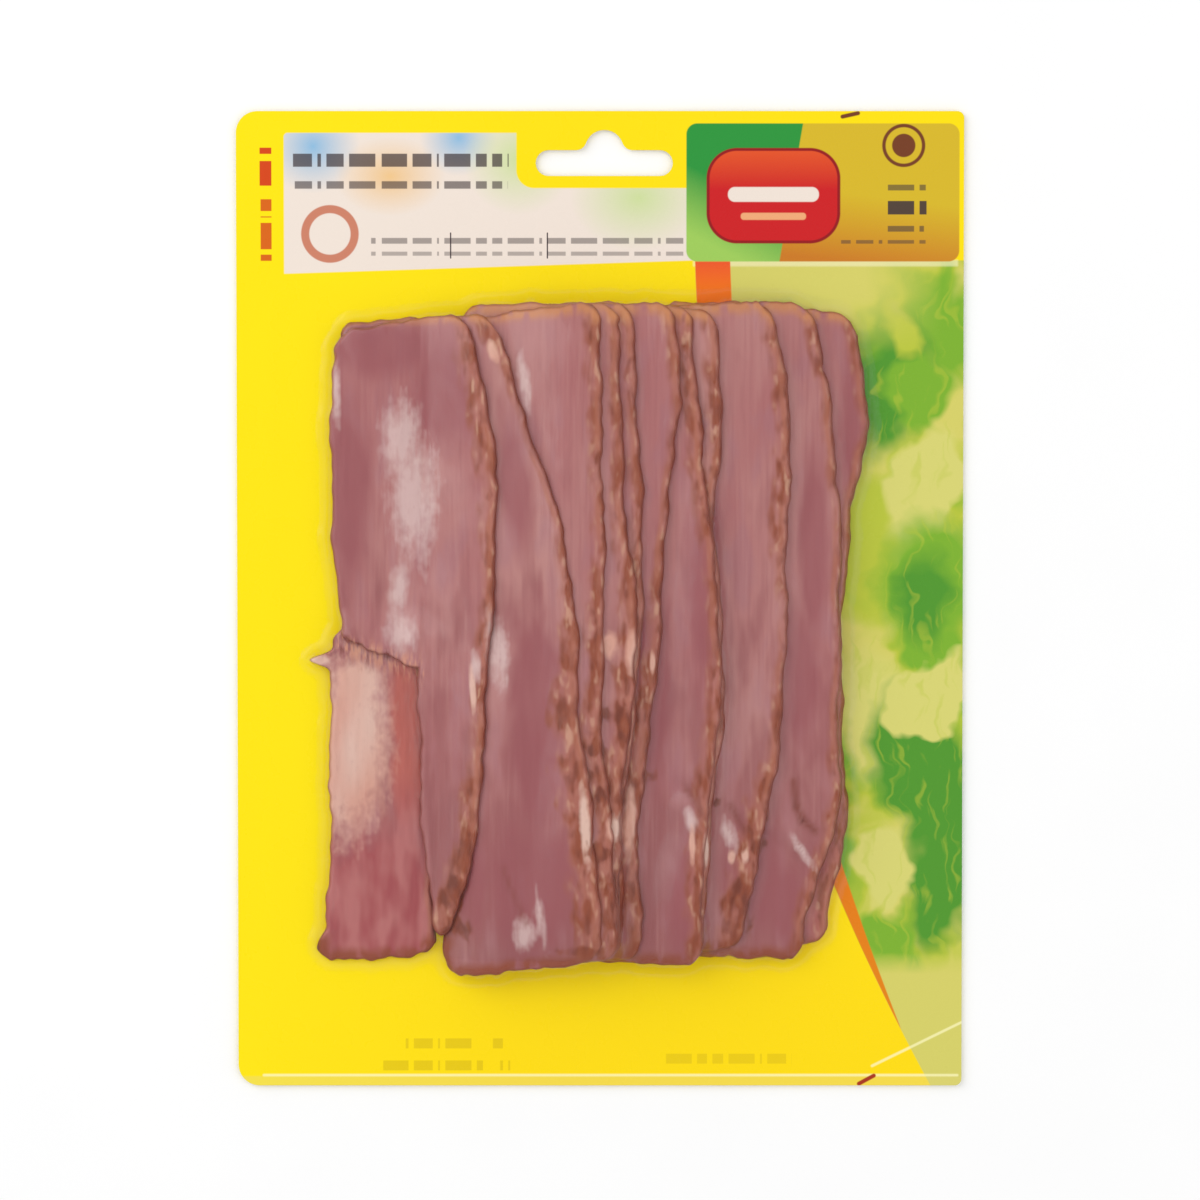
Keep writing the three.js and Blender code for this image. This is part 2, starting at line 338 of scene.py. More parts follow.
# %% [markdown]
# ## The base web
#
# The real web is a stiff laminate, cut to its outline with the hang slot punched through it. It could be an
# extruded outline, but then its flat face would be a single polygon, and a sheet that has been pressed,
# sealed and handled is never quite flat. So a fine grid is thickened to a slab, and the model's own web,
# made taller, cuts it to the exact outline and slot. Then its points can be moved: the web lies flat under
# the meat, its borders lift by less than a millimetre, and a low ridge marks the seal round the meat.

# %% A cutter with the web's own outline
CUTTER_STRETCH = 20  # the cutter is this many times as tall as the web, and reaches past both of its faces

web_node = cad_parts["base_web"]
cutter = web_node.copy()
cutter.data = web_node.data.copy()
cutter.name = "web_cutter"
cutter.parent = None
bpy.context.scene.collection.objects.link(cutter)
select_only(cutter)
bpy.ops.object.mode_set(mode="EDIT")
bpy.ops.mesh.select_all(action="SELECT")
bpy.ops.mesh.remove_doubles(threshold=0.001 * MM)
bpy.ops.object.mode_set(mode="OBJECT")
cutter_points = points_of(cutter)
web_thickness = web_high.z / MM
cutter_points[:, 2] = (cutter_points[:, 2] - web_thickness / 2) * CUTTER_STRETCH
place_points(cutter, cutter_points)
print("cutter", len(cutter.data.vertices), "points")

# %% The slab, cut to the outline
WEB_COLUMNS, WEB_ROWS = 114, 152  # cells of about 1.5 mm
SPARE = 1.02  # the slab is this much larger than the web before it is cut

web = add_grid("printed_web", WEB_COLUMNS, WEB_ROWS)
bpy.ops.object.mode_set(mode="EDIT")
bpy.ops.mesh.select_all(action="SELECT")
web_size = web_high - web_low
bpy.ops.transform.resize(value=(web_size.x * SPARE, web_size.y * SPARE, 1))
raise_to_slab(web_size.z)

cut = web.modifiers.new("outline", "BOOLEAN")
cut.operation = "INTERSECT"
cut.solver = "EXACT"
cut.object = cutter
select_only(web)
bpy.ops.object.modifier_apply(modifier=cut.name)
bpy.data.objects.remove(cutter)
print("web", len(web.data.polygons), "faces")

# %% Its lift, its ripples and the seal's ridge
MEAT_HALF_WIDTH, MEAT_HALF_LENGTH, MEAT_MIDDLE = 66, 80, -7  # the flat part of the web, under the meat
BORDER_LIFT = 0.5  # the most that the borders rise
LIFT_REACH = 20  # how far out from the meat they have risen by half of it
RIPPLE = 0.07
SEAL_HALF_WIDTH, SEAL_FOOT, SEAL_HEAD, SEAL_CORNER = 77, -106, 73, 9
SEAL_RIDGE = 0.1
SEAL_SIGMA = 0.9


def waves(x, y, seed, across, along, count=8):
    """Uneven waves from about -1 to 1, whose lengths lie round the two given ones."""
    draw = np.random.default_rng(seed)
    total = np.zeros_like(x + y)
    for _ in range(count):
        pace_x, pace_y = draw.uniform(-1.4, 1.4) / across, draw.uniform(-1.4, 1.4) / along
        total += np.sin(2 * np.pi * (x * pace_x + y * pace_y) + draw.uniform(0, 2 * np.pi))
    return total / math.sqrt(count)


def web_lift(x, y):
    out_x = np.maximum(np.abs(x) - MEAT_HALF_WIDTH, 0)
    out_y = np.maximum(np.abs(y - MEAT_MIDDLE) - MEAT_HALF_LENGTH, 0)
    out = np.hypot(out_x, out_y)
    free = out**2 / (out**2 + LIFT_REACH**2)
    return free * (BORDER_LIFT + RIPPLE * waves(x, y, 3, 45, 60))


def seal_ridge(x, y):
    middle, half = (SEAL_FOOT + SEAL_HEAD) / 2, (SEAL_HEAD - SEAL_FOOT) / 2
    out_x = np.abs(x) - SEAL_HALF_WIDTH + SEAL_CORNER
    out_y = np.abs(y - middle) - half + SEAL_CORNER
    outside = np.hypot(np.maximum(out_x, 0), np.maximum(out_y, 0)) + np.minimum(np.maximum(out_x, out_y), 0)
    return SEAL_RIDGE * np.exp(-(((outside - SEAL_CORNER) / SEAL_SIGMA) ** 2))


web_points = points_of(web)
on_top = web_points[:, 2] > web_thickness / 2
web_points[:, 2] += web_lift(web_points[:, 0], web_points[:, 1])
web_points[on_top, 2] += seal_ridge(web_points[on_top, 0], web_points[on_top, 1])
place_points(web, web_points)
select_only(web)
bpy.ops.object.shade_smooth_by_angle(angle=math.radians(40))
print("web rises to", round(web_points[:, 2].max(), 2), "mm")

# %% [markdown]
# ## The print on the web
#
# The laminate is printed in clean fields: strong yellow, a cream panel and a green and gold one beside the
# slot, an orange band that sweeps down to a point, and soft leaf greens to the right of it. Nothing needs a
# picture. Each field is the area inside a simple outline, worked out from the place on the sheet in
# millimetres, and laid over the ones before it. Lines of small print are bars, and the plaque, ring and
# disc are plain shapes.

# %% Outlines as masks
EDGE = 0.25  # width over which a printed edge turns from one ink to the next


class Sheet(Finish):
    """A print: its fields are laid one over another, from the place x, y on the sheet."""

    def __init__(self, name, ground):
        super().__init__(name)
        self.x, self.y, _ = self.place()
        self.spot = self.add("ShaderNodeCombineXYZ", sockets={"X": self.x, "Y": self.y})
        self.shade = ground

    def lay(self, mask, ink):
        self.shade = self.mix(mask, self.shade, ink)

    def seen_from(self, centre, lean=0.0, scale=(1, 1, 1), spot=None):
        """The place as a shape sees it: from its centre, along its own axes, in its own lengths."""
        sockets = {"Vector": spot or self.spot, "Location": (*centre, 0), "Scale": scale}
        sockets["Rotation"] = (0, 0, lean)
        return self.add("ShaderNodeMapping", {"vector_type": "TEXTURE"}, sockets)

    def vector(self, operation, *values, output="Vector"):
        return self.add("ShaderNodeVectorMath", {"operation": operation}, dict(enumerate(values)), output)

    def past_box(self, centre, half_width, half_height, lean=0.0):
        """How far outside a sharp box a place is."""
        away = self.vector("ABSOLUTE", self.seen_from(centre, lean))
        out = self.vector("MAXIMUM", self.vector("SUBTRACT", away, (half_width, half_height, 0)), (0, 0, 0))
        return self.vector("LENGTH", out, output="Value")

    def box(self, left, right, low, high, corner=0.0, soft=EDGE):
        """Inside a box with round corners."""
        centre = ((left + right) / 2, (low + high) / 2)
        outside = self.past_box(centre, (right - left) / 2 - corner, (high - low) / 2 - corner)
        return outside.ramp(corner + soft, corner)

    def disc(self, centre, radius, soft=EDGE, flatten=1.0):
        place = self.seen_from(centre, scale=(1, 1 / flatten, 1))
        return self.vector("LENGTH", place, output="Value").ramp(radius + soft, radius)

    def line(self, start, end, width, soft=EDGE):
        """A straight stroke from start to end."""
        run, rise = end[0] - start[0], end[1] - start[1]
        centre = ((start[0] + end[0]) / 2, (start[1] + end[1]) / 2)
        outside = self.past_box(centre, math.hypot(run, rise) / 2, 0, math.atan2(rise, run))
        return outside.ramp(width / 2 + soft, width / 2)


# %% Yellow ground
YELLOW_LEFT = colour(255, 230, 0)
YELLOW_MIDDLE = colour(255, 226, 0)
YELLOW_FOOT = colour(255, 220, 0)


def yellow_sheet(name):
    sheet = Sheet(name, YELLOW_LEFT)
    drift = sheet.noise(sheet.x / 55, sheet.y / 55, detail=1.0)
    sheet.lay((sheet.x + drift * 40).ramp(-62, 12), YELLOW_MIDDLE)
    sheet.lay((sheet.y + drift * 50).ramp(-25, -75) * sheet.x.ramp(-82, -20) * 0.85, YELLOW_FOOT)
    return sheet


# %% Where the orange band runs
HEADER_FOOT = 79.3  # where the header ends and the lower print starts
BAND_TOP_X = 22.1  # the band's left edge at the header's foot
BAND_RUN = 190  # the band is reckoned over this length, downwards from the header
BAND_START, BAND_BEND = 5.6, 48  # how fast its edge goes right at first, and how much faster further down
BAND_WIDTH = 8.2
BAND_LENGTH_SHARE = 0.952  # of BAND_RUN, where the band has come to a point
BAND_TAPER = 2.54
ORANGE = colour(246, 118, 20)
ORANGE_TOP = colour(238, 88, 42)
ORANGE_DEEP = colour(228, 132, 14)


def down_and_beyond(sheet):
    """How far down a place is, as a share of the band's run, and how far right of the band's left edge."""
    down = (HEADER_FOOT - sheet.y) * (1 / BAND_RUN)
    return down, sheet.x - (BAND_TOP_X + down * BAND_START + down * down * BAND_BEND)


def lay_band(sheet):
    down, beyond = down_and_beyond(sheet)
    taper = 1 - (down.at_least(0) * (1 / BAND_LENGTH_SHARE)).at_most(1) ** BAND_TAPER
    band = beyond.ramp(0, EDGE) * (beyond - taper * BAND_WIDTH).ramp(EDGE, 0)
    band = band * sheet.y.ramp(HEADER_FOOT + EDGE, HEADER_FOOT) * taper.ramp(0, 0.02)
    ink = sheet.mix(down.ramp(0.035, 0), ORANGE, ORANGE_TOP)
    sheet.lay(band, sheet.mix(down.ramp(0.5, 0.9), ink, ORANGE_DEEP))


# %% Leaf greens to its right
LEAF_OLIVE = colour(214, 208, 104)
LEAF_PALE = colour(216, 212, 116)
LEAF_LIME = colour(186, 198, 62)
LEAF_GREEN = colour(126, 178, 48)
LEAF_DEEP = colour(82, 152, 46)
LEAF_STOPS = [(0.0, LEAF_OLIVE), (0.42, LEAF_OLIVE), (0.52, LEAF_LIME), (0.64, LEAF_GREEN)]
WARP = 13  # how far the leaves' borders wander
# centre, half width, half length, lean in degrees, softness of the border and ink of each leaf
LEAVES = [
    ((81, 64), 7, 13, 10, 0.5, LEAF_GREEN),
    ((67, 50), 9, 17, -18, 0.6, LEAF_DEEP),
    ((74, 49), 7, 9, 20, 0.4, LEAF_GREEN),
    ((71, 63), 4, 5, 40, 0.7, LEAF_LIME),
    ((76, 26), 8, 15, -22, 0.22, LEAF_PALE),
    ((62, 14), 6, 17, 0, 0.6, LEAF_LIME),
    ((78, 4), 12, 15, -10, 0.55, LEAF_GREEN),
    ((76, 0), 6, 9, 0, 0.8, LEAF_DEEP),
    ((64, -28), 9, 14, 12, 0.5, LEAF_PALE),
    ((78, -43), 12, 22, 24, 0.4, LEAF_DEEP),
    ((78, -22), 12, 8, 38, 0.16, LEAF_PALE),
    ((80, -66), 8, 15, -6, 0.5, LEAF_DEEP),
    ((67, -78), 7, 6, 10, 0.5, LEAF_GREEN),
    ((67, -63), 7, 8, 8, 0.22, LEAF_PALE),
]


def lay_leaves(sheet):
    warp_x = sheet.noise(sheet.x / 9, sheet.y / 9, 3.1)
    warp_y = sheet.noise(sheet.x / 9, sheet.y / 9, 8.7)
    leaf_x = sheet.x + (warp_x - 0.5) * WARP
    leaf_y = sheet.y + (warp_y - 0.5) * WARP
    cloud = sheet.noise(leaf_x / 15, leaf_y / 22, 5.2)
    leaves = sheet.add("ShaderNodeValToRGB", {"stops": LEAF_STOPS}, {"Fac": cloud})
    spot = sheet.add("ShaderNodeCombineXYZ", sockets={"X": leaf_x, "Y": leaf_y})
    for centre, half_width, half_length, lean, softness, ink in LEAVES:
        place = sheet.seen_from(centre, math.radians(lean), (half_width, half_length, 1), spot)
        distance = sheet.vector("LENGTH", place, output="Value")
        leaves = sheet.mix(distance.ramp(1 + softness / 2, 1 - softness / 2), leaves, ink)
    veins = sheet.noise(leaf_x / 1.8, leaf_y / 11, 2.0, detail=1.5)
    leaves = sheet.mix(veins.ramp(0.56, 0.7) * 0.4, leaves, LEAF_LIME)
    calm = sheet.y.ramp(-83, -88).at_least(sheet.y.ramp(58, 72) * sheet.x.ramp(80, 62))
    leaves = sheet.mix(calm, leaves, LEAF_OLIVE)
    _, beyond = down_and_beyond(sheet)
    sheet.lay(beyond.ramp(0, EDGE) * sheet.y.ramp(HEADER_FOOT + EDGE, HEADER_FOOT), leaves)
    sheet.lay(sheet.box(22, 83.4, HEADER_FOOT - 1, HEADER_FOOT, soft=0.5) * 0.5, colour(250, 244, 200))


# %% The cream panel
CREAM = colour(240, 226, 214)
SKY = colour(142, 188, 222)
WARM = colour(240, 190, 110)
SOFT_GREEN = colour(206, 222, 158)
PANEL_LEFT, PANEL_RIGHT, PANEL_FOOT, PANEL_HEAD = -73.7, 22, 76.2, 109
PANEL_RISE = 0.0326  # its foot rises to the right by this share
# centre, softness, flatness, strength and ink of the panel's soft glows
GLOWS = [
    ((-67, 106), 11, 1.0, 1.0, SKY),
    ((-49, 99), 13, 1.4, 0.8, WARM),
    ((-33, 108), 9, 1.0, 1.0, SKY),
    ((-19, 103), 13, 1.0, 1.0, SOFT_GREEN),
    ((9, 94), 16, 1.3, 1.0, SOFT_GREEN),
]


def lay_cream_panel(sheet, glows=GLOWS):
    ink = CREAM
    for centre, softness, flatness, strength, glow in glows:
        ink = sheet.mix(sheet.disc(centre, 0, softness, flatness) * strength, ink, glow)
    foot = sheet.y - (sheet.x - PANEL_LEFT) * PANEL_RISE
    panel = sheet.box(PANEL_LEFT, PANEL_RIGHT, PANEL_FOOT - 5, PANEL_HEAD, corner=0.8)
    slot_surround = sheet.box(-19.4, 60, 96.4, 130, corner=4)
    sheet.lay(panel * foot.ramp(PANEL_FOOT, PANEL_FOOT + EDGE) * (1 - slot_surround), ink)


# %% The green and gold panel
GREEN = colour(44, 150, 60)
GREEN_LIGHT = colour(160, 206, 92)
GOLD = colour(216, 184, 40)
GOLD_FOOT = colour(204, 122, 34)


def lay_two_tone_panel(sheet):
    panel = sheet.box(20.3, 83.8, HEADER_FOOT, 111.2, corner=2.4)
    gold_side = (sheet.x - (sheet.y - 95) * 0.17).ramp(44.5, 44.5 + EDGE)
    green_ink = sheet.mix((sheet.y + sheet.x * 0.5).ramp(112, 96), GREEN, GREEN_LIGHT)
    gold_ink = sheet.mix((sheet.y + sheet.x * 0.12).ramp(102, 86), GOLD, GOLD_FOOT)
    sheet.lay(panel, sheet.mix(gold_side, green_ink, gold_ink))


# %% Plaque, ring and disc
RED = colour(206, 30, 34)
RED_GLOW = colour(236, 96, 40)
PLAQUE_RIM = colour(150, 22, 28)
PLAQUE_PEACH = colour(240, 170, 120)
TERRACOTTA = colour(206, 130, 104)
BROWN = colour(118, 62, 34)
RING_CENTRE = (-63.1, 85.6)
DISC_CENTRE = (70.9, 106.2)


def lay_plaque(sheet):
    sheet.lay(sheet.box(25, 56, 83.5, 105.5, corner=7), PLAQUE_RIM)
    ink = sheet.mix(sheet.y.ramp(96, 108), RED, RED_GLOW)
    sheet.lay(sheet.box(25.7, 55.3, 84.2, 104.8, corner=6.3), ink)
    sheet.lay(sheet.box(30, 51, 93.2, 96.4, corner=1.5), CREAM)
    sheet.lay(sheet.box(33, 48, 89, 90.4, corner=0.6), PLAQUE_PEACH)


def lay_ring(sheet, centre, outer, inner, ink):
    sheet.lay(sheet.disc(centre, outer) * (1 - sheet.disc(centre, inner)), ink)


# %% Lines of small print, as plain bars
INK = colour(66, 52, 56)
RED_INK = colour(214, 70, 20)
CODE_INK = colour(206, 176, 10)
# left, right, low, high, and how dark it is
DARK_LINES = [
    (-71.6, -21.4, 101.3, 104.2, 0.85),
    (-71.2, -21.6, 96.2, 97.8, 0.75),
    (-53.4, 19.4, 83.4, 84.6, 0.6),
    (-53.4, 19.4, 80.6, 81.4, 0.5),
    (66.2, 76.0, 95.8, 97.0, 0.7),
    (66.6, 76.2, 90.2, 93.2, 0.95),
    (66.6, 75.6, 86.2, 87.4, 0.7),
    (56.4, 76.0, 83.4, 84.1, 0.6),
]
RED_LINES = [(-79.4, -76.8, 96.0, 105.6, 1.0), (-79.2, -76.8, 79.4, 93.6, 0.9)]
CODE_LINES = [
    (-45.6, -29.2, -105.4, -103.2, 0.5),
    (-25.2, -22.8, -105.4, -103.2, 0.5),
    (-52.0, -27.6, -110.6, -108.4, 0.5),
    (-23.4, -21.2, -110.6, -108.4, 0.5),
    (15.6, 45.0, -109.0, -106.8, 0.4),
]
WORDS = (7.4, 12.9)  # gaps at these two distances break the bars into words
GAP = 1.1


def lay_bars(sheet, lines, along, ink):
    """Bars of ink, broken into words along x or y."""
    total = 0.0
    for left, right, low, high, strength in lines:
        total = (sheet.box(left, right, low, high, soft=0.15) * strength).at_least(total)
    for length in WORDS:
        total = total * along.math("PINGPONG", length / 2).ramp(GAP / 2, GAP / 2 + 0.15)
    sheet.lay(total, ink)


# %% The foot of the pack, where the film is left loose to peel it open
PEEL_LINE = -111.8
PEEL_WHITE_AND_HIGHLIGHT = colour(255, 250, 190)
MARK_RED = colour(170, 50, 24)


def lay_foot(sheet):
    sheet.lay(sheet.line((-79, PEEL_LINE), (84, PEEL_LINE), 0.25, soft=0.35) * 0.75, PEEL_WHITE_AND_HIGHLIGHT)
    sheet.lay(sheet.y.ramp(PEEL_LINE, PEEL_LINE - 0.4) * 0.35, colour(226, 214, 120))


# %% The laminate's gloss
GLOSS = 0.22  # roughness of its smoothest places


def make_laminate(sheet):
    grain = sheet.noise(sheet.x / 7, sheet.y / 7, detail=3.0)
    sockets = {"Base Color": sheet.shade, "Roughness": grain * 0.12 + GLOSS, "Specular IOR Level": 0.2}
    sockets["Normal"] = sheet.bump(grain, 0.12, 0.4 * MM)
    return sheet.end_with_principled(sockets)


# %% [markdown]
# ### Three parts of one print
#
# A single material could hold the whole print, but then each point of the sheet would work out every bar
# and leaf. So the sheet has three: one for the header, one for the leafy side and one for the plain rest.
# They are made by the same functions on the same places, so that their seams don't show.

# %% Header, leafy side and plain rest
header = yellow_sheet("header_print")
lay_cream_panel(header)
lay_two_tone_panel(header)
lay_plaque(header)
lay_ring(header, RING_CENTRE, 6.6, 4.7, TERRACOTTA)
lay_ring(header, DISC_CENTRE, 4.9, 4.1, BROWN)
header.lay(header.disc(DISC_CENTRE, 2.6), BROWN)
header.lay(header.line((56.6, 112.9), (60.2, 113.7), 0.7), BROWN)
lay_bars(header, DARK_LINES, header.x, INK)
lay_bars(header, RED_LINES, header.y, RED_INK)
for divider in (-34.9, -12.3):
    header.lay(header.line((divider, 80), (divider, 85.8), 0.2, soft=0.1), INK)

leafy = yellow_sheet("leafy_print")
lay_leaves(leafy)
lay_band(leafy)
lay_cream_panel(leafy, glows=[])
lay_two_tone_panel(leafy)
lay_bars(leafy, CODE_LINES[-1:], leafy.x, CODE_INK)
lay_foot(leafy)
# A painted highlight along the film's diagonal seam at the peel corner.
leafy.lay(leafy.line((64, -109.6), (85, -99.3), 0.3, soft=0.3) * 0.7, PEEL_WHITE_AND_HIGHLIGHT)
leafy.lay(leafy.line((60.9, -113.8), (64.4, -111.9), 0.7), MARK_RED)

plain = yellow_sheet("yellow_print")
lay_bars(plain, CODE_LINES, plain.x, CODE_INK)
lay_foot(plain)

# %% The back of the web
backing = Finish("web_backing")
x, y, _ = backing.place()
back_grain = backing.noise(x / 9, y / 9, detail=3.0)
off_white = backing.mix(back_grain, colour(238, 236, 228), colour(246, 244, 238))
backing.end_with_principled({"Base Color": off_white, "Roughness": back_grain * 0.2 + 0.3})

# %% Put each part on its faces
LEAFY_FROM = 20  # the leafy part starts at this x, in the yellow just left of the band
HEADER_FROM_LEFT, HEADER_FROM_RIGHT = 72, 80.5  # and the header at these y, left and right of it

for material in (make_laminate(header), make_laminate(leafy), make_laminate(plain), backing.material):
    web.data.materials.append(material)
for face in web.data.polygons:
    on_right = face.center.x / MM > LEAFY_FROM
    in_header = face.center.y / MM > (HEADER_FROM_RIGHT if on_right else HEADER_FROM_LEFT)
    face.material_index = 0 if in_header else 1 if on_right else 2
    if face.normal.z < -0.5:
        face.material_index = 3

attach(web, "root")
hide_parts("base_web")

# %% [markdown]
# ## Where the slices lie
#
# The slices are shingled: each lies on the next one to its right, so that only its right part shows, and
# the first lies on top of all. Their visible right edges were measured at seven stations along the pack. A
# smooth line through the stations, with small waves, is the cut edge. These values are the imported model's
# own, so that the slices fill the solid which they replace.

# %% Their outlines at the stations
# Each row has the right edge's x at the seven stations, and the y of foot and of head at left and right.
SLICE_WIDTH = 37
LOWER_SLICES = [
    ([-0.1, -1.5, -4.7, -5.6, -9.4, -17.4, -24.5], [-88.2, -84.3], [65, 66.8]),
    ([4.1, 2.5, 0.4, 0.9, 0.8, 0.3, 0.2], [-85, -83.8], [64.9, 70]),
    ([4.6, 4.6, 7, 8.6, 6, 4.9, 4.4], [-85, -83.8], [69, 69.4]),
    ([5.1, 5.1, 7.8, 9.6, 9.8, 8.6, 7.6], [-85, -83.6], [69, 69.2]),
    ([9.4, 9, 11.9, 14.2, 15.2, 18.2, 17.9], [-84, -83.7], [69.3, 69.4]),
    ([23.6, 24.7, 27.6, 27.6, 25.4, 23.1, 21.3], [-84.6, -85.2], [69, 68.8]),
    ([24.4, 25.8, 28.5, 28.3, 26.5, 28.3, 26.8], [-84, -83.4], [68.6, 68.2]),
    ([33.4, 38.8, 42.3, 43.3, 43.5, 44.2, 40.5], [-82.4, -81.6], [68.6, 69.6]),
    ([47.5, 55.4, 55.8, 56, 55.9, 54, 50.4], [-82.8, -84.4], [69.8, 69.4]),
    ([53.2, 57.6, 56.5, 56.6, 58.6, 62.3, 59.5], [-80.5, -80.9], [69, 67]),
]
TOP_RIGHT = [-34, -28.2, -27.1, -25.2, -24, -25.4, -31.5]
# These three have a left edge of their own.
TOP_BODY = (TOP_RIGHT, [-9.2, -17.5], [62.6, 67.6], [-62, -62, -62, -61, -62.8, -62.8, -62.3])
TOP_TONGUE = (TOP_RIGHT, [-79.4, -79.4], [20, 20], [-39.3, -41.7, -42.3, -42.3, -42.3, -42.3, -42.3])
SIDE_RIGHT = [-38.6, -39.7, -39.7, -39.7, -39.7, -39.7, -39.7]
SIDE_SLICE = (SIDE_RIGHT, [-84.6, -83.6], [-6, -6], [-64.2, -63.2, -63.4, -62.2, -62.6, -62.6, -62.6])
print("slices", len(LOWER_SLICES) + 2)

# %% Lines through the stations
FIRST_STATION, LAST_STATION, STATION_STEP = -75, 66, 23.5
EDGE_WAVE, LONG_WAVE, SHORT_WAVE = 0.3, 31, 13  # height and lengths of the waves along an edge


def through_stations(values, y):
    """A smooth line through values given at the stations."""
    values = np.asarray(values, float)
    slopes = np.gradient(values)
    run = (np.clip(y, FIRST_STATION, LAST_STATION) - FIRST_STATION) / STATION_STEP
    i = np.minimum(run.astype(int), len(values) - 2)
    p = run - i
    start = (1 + 2 * p) * (1 - p) ** 2 * values[i] + p * (1 - p) ** 2 * slopes[i]
    end = p**2 * (3 - 2 * p) * values[i + 1] + p**2 * (p - 1) * slopes[i + 1]
    return start + end


def edge_line(values, phase):
    """A cut edge: a smooth line with small waves, which runs straight on past the last stations."""

    def line(y):
        y = np.clip(np.asarray(y, float), FIRST_STATION, LAST_STATION)
        wave = np.sin(2 * np.pi * y / LONG_WAVE + 1.7 * phase)
        wave = wave + 0.6 * np.sin(2 * np.pi * y / SHORT_WAVE + 2.9 * phase)
        return through_stations(values, y) + EDGE_WAVE * wave

    return line


# %% Outlines of all slices
TIP_REACH, TIP_PLACE, TIP_WIDTH = 5.2, -14, 1.5  # the tip that sticks out of the side slice
FLARE_REACH, FLARE_START, FLARE_END = 2.6, -76, -83  # and its foot's corner


def outlined(phase, right_xs, foot_ys, head_ys, left_xs=None):
    """A slice's outline, as four functions: left and right edge, foot and head."""
    right = edge_line(right_xs, phase)
    left = edge_line(left_xs, phase + 0.5) if left_xs else lambda y: right(y) - SLICE_WIDTH

    def end_line(values, station):
        start, stop = float(left(station)), float(right(station))
        return lambda x: blend(values[0], values[1], np.clip((x - start) / (stop - start), 0, 1))

    foot, head = end_line(foot_ys, FIRST_STATION), end_line(head_ys, LAST_STATION)
    return {"left": left, "right": right, "foot": foot, "head": head}


lower = [outlined(i + 2, *row) for i, row in enumerate(LOWER_SLICES)]
body = outlined(1, *TOP_BODY)
tongue = outlined(1, *TOP_TONGUE)
side = outlined(0, *SIDE_SLICE)
plain_left = side["left"]


def side_left(y):
    tip = TIP_REACH * np.exp(-(((y - TIP_PLACE) / TIP_WIDTH) ** 2))
    return plain_left(y) - tip - FLARE_REACH * smoothstep(-y, -FLARE_START, -FLARE_END)


side["left"] = side_left
print("the side slice's tip reaches x", round(float(side_left(TIP_PLACE)), 1), "mm")

# %% [markdown]
# ## How high they lie
#
# A slice is 2.8 mm thick on its own, and the film presses a deeper stack thinner. Going right, a slice
# climbs onto the left edge of each one under it over about a centimetre, so its height is the number of
# slices up to it, counted smoothly. The film also pulls the two ends of the stack down, and a few slanting
# creases cross its lower part.

# %% Heights
SLICE_LOFT = 2.8  # a slice's thickness on its own
SLICE_PRESS = 0.115  # how fast a growing stack is pressed thinner
CLIMB = 10  # length over which a slice climbs onto the edge of the one below it
STACK_HEAD, STACK_FOOT, END_REACH, END_FALL = 69, -84, 15, 0.35  # the film presses this much of each end down
PRESS_LINE = ((19, -43.5), (50, -63), 0.9, 2.2)  # start, end, depth and half width
FOLDS = [
    ((20, -43.6), (24.4, -50.6), 0.4, 0.7),
    ((30.2, -47.6), (34.2, -54.6), 0.4, 0.7),
    ((45.3, -42), (45.8, -48), 0.6, 0.7),
    ((45.8, -48), (47.4, -51.4), 0.6, 0.7),
    ((47.4, -51.4), (50.4, -54), 0.6, 0.7),
    ((-22.6, -62), (-17.2, -75), 0.3, 0.6),
]
SWELLS = [((43.5, -52.8), (49.4, -63), -0.7, 1.3)]


def slices_under(x, y, slices):
    count = np.zeros_like(x + y)
    for outline in slices:
        left = outline["left"](y)
        count += smoothstep(x, left - CLIMB / 2, left + CLIMB / 2)
    return count


def over_side(x, y):
    """1 over the side slice, and 0 away from it."""
    right, head = side["right"](y), side["head"](x)
    across = 1 - smoothstep(x, right - CLIMB / 2, right + CLIMB / 2)
    return across * (1 - smoothstep(y, head - CLIMB / 2, head + CLIMB / 2))


def squeeze(y):
    to_end = np.maximum(np.minimum(STACK_HEAD - y, y - STACK_FOOT), 0)
    return 1 - END_FALL * (1 - np.minimum(to_end / END_REACH, 1)) ** 2


def stack_height(count, y):
    return squeeze(y) * (SLICE_LOFT * count - SLICE_PRESS * count**2)


def slice_thickness(count, y):
    return squeeze(y) * (SLICE_LOFT - SLICE_PRESS * (2 * count - 1))


def crease_depth(x, y, creases=(PRESS_LINE, *FOLDS, *SWELLS)):
    total = np.zeros_like(x + y)
    for start, end, depth, width in creases:
        along = np.subtract(end, start)
        share = ((x - start[0]) * along[0] + (y - start[1]) * along[1]) / np.dot(along, along)
        share = np.clip(share, 0, 1)
        gap = np.hypot(x - start[0] - share * along[0], y - start[1] - share * along[1])
        total += depth * np.exp(-((gap / width) ** 2))
    return total


# %% The pile, from the top down
ALL_CORNERS = [("left", "foot"), ("right", "foot"), ("left", "head"), ("right", "head")]


def count_at(number):
    """How many slices lie up to the upper face of slice number, itself among them."""
    if number == 0:
        return lambda x, y: np.ones_like(x + y)
    if number == 1:
        return lambda x, y: 1 + slices_under(x, y, lower) + over_side(x, y)
    return lambda x, y: 1 + slices_under(x, y, lower[number - 1 :])


# Slice 0 is the short one at the side, 1 the top one, which is torn, and 2 to 11 lie under it.
pile = [
    {"parts": [(side, ALL_CORNERS)]},
    {"parts": [(body, [ALL_CORNERS[0], *ALL_CORNERS[2:]]), (tongue, ALL_CORNERS[:2])]},
    *[{"parts": [(outline, ALL_CORNERS)]} for outline in lower],
]
for number, piece in enumerate(pile):
    piece["count"] = count_at(number)
    piece["name"] = f"meat_slice_{number:02d}"
print("highest", round(float(stack_height(pile[3]["count"](np.array(0.0), np.array(0.0)), 0.0)), 1), "mm")
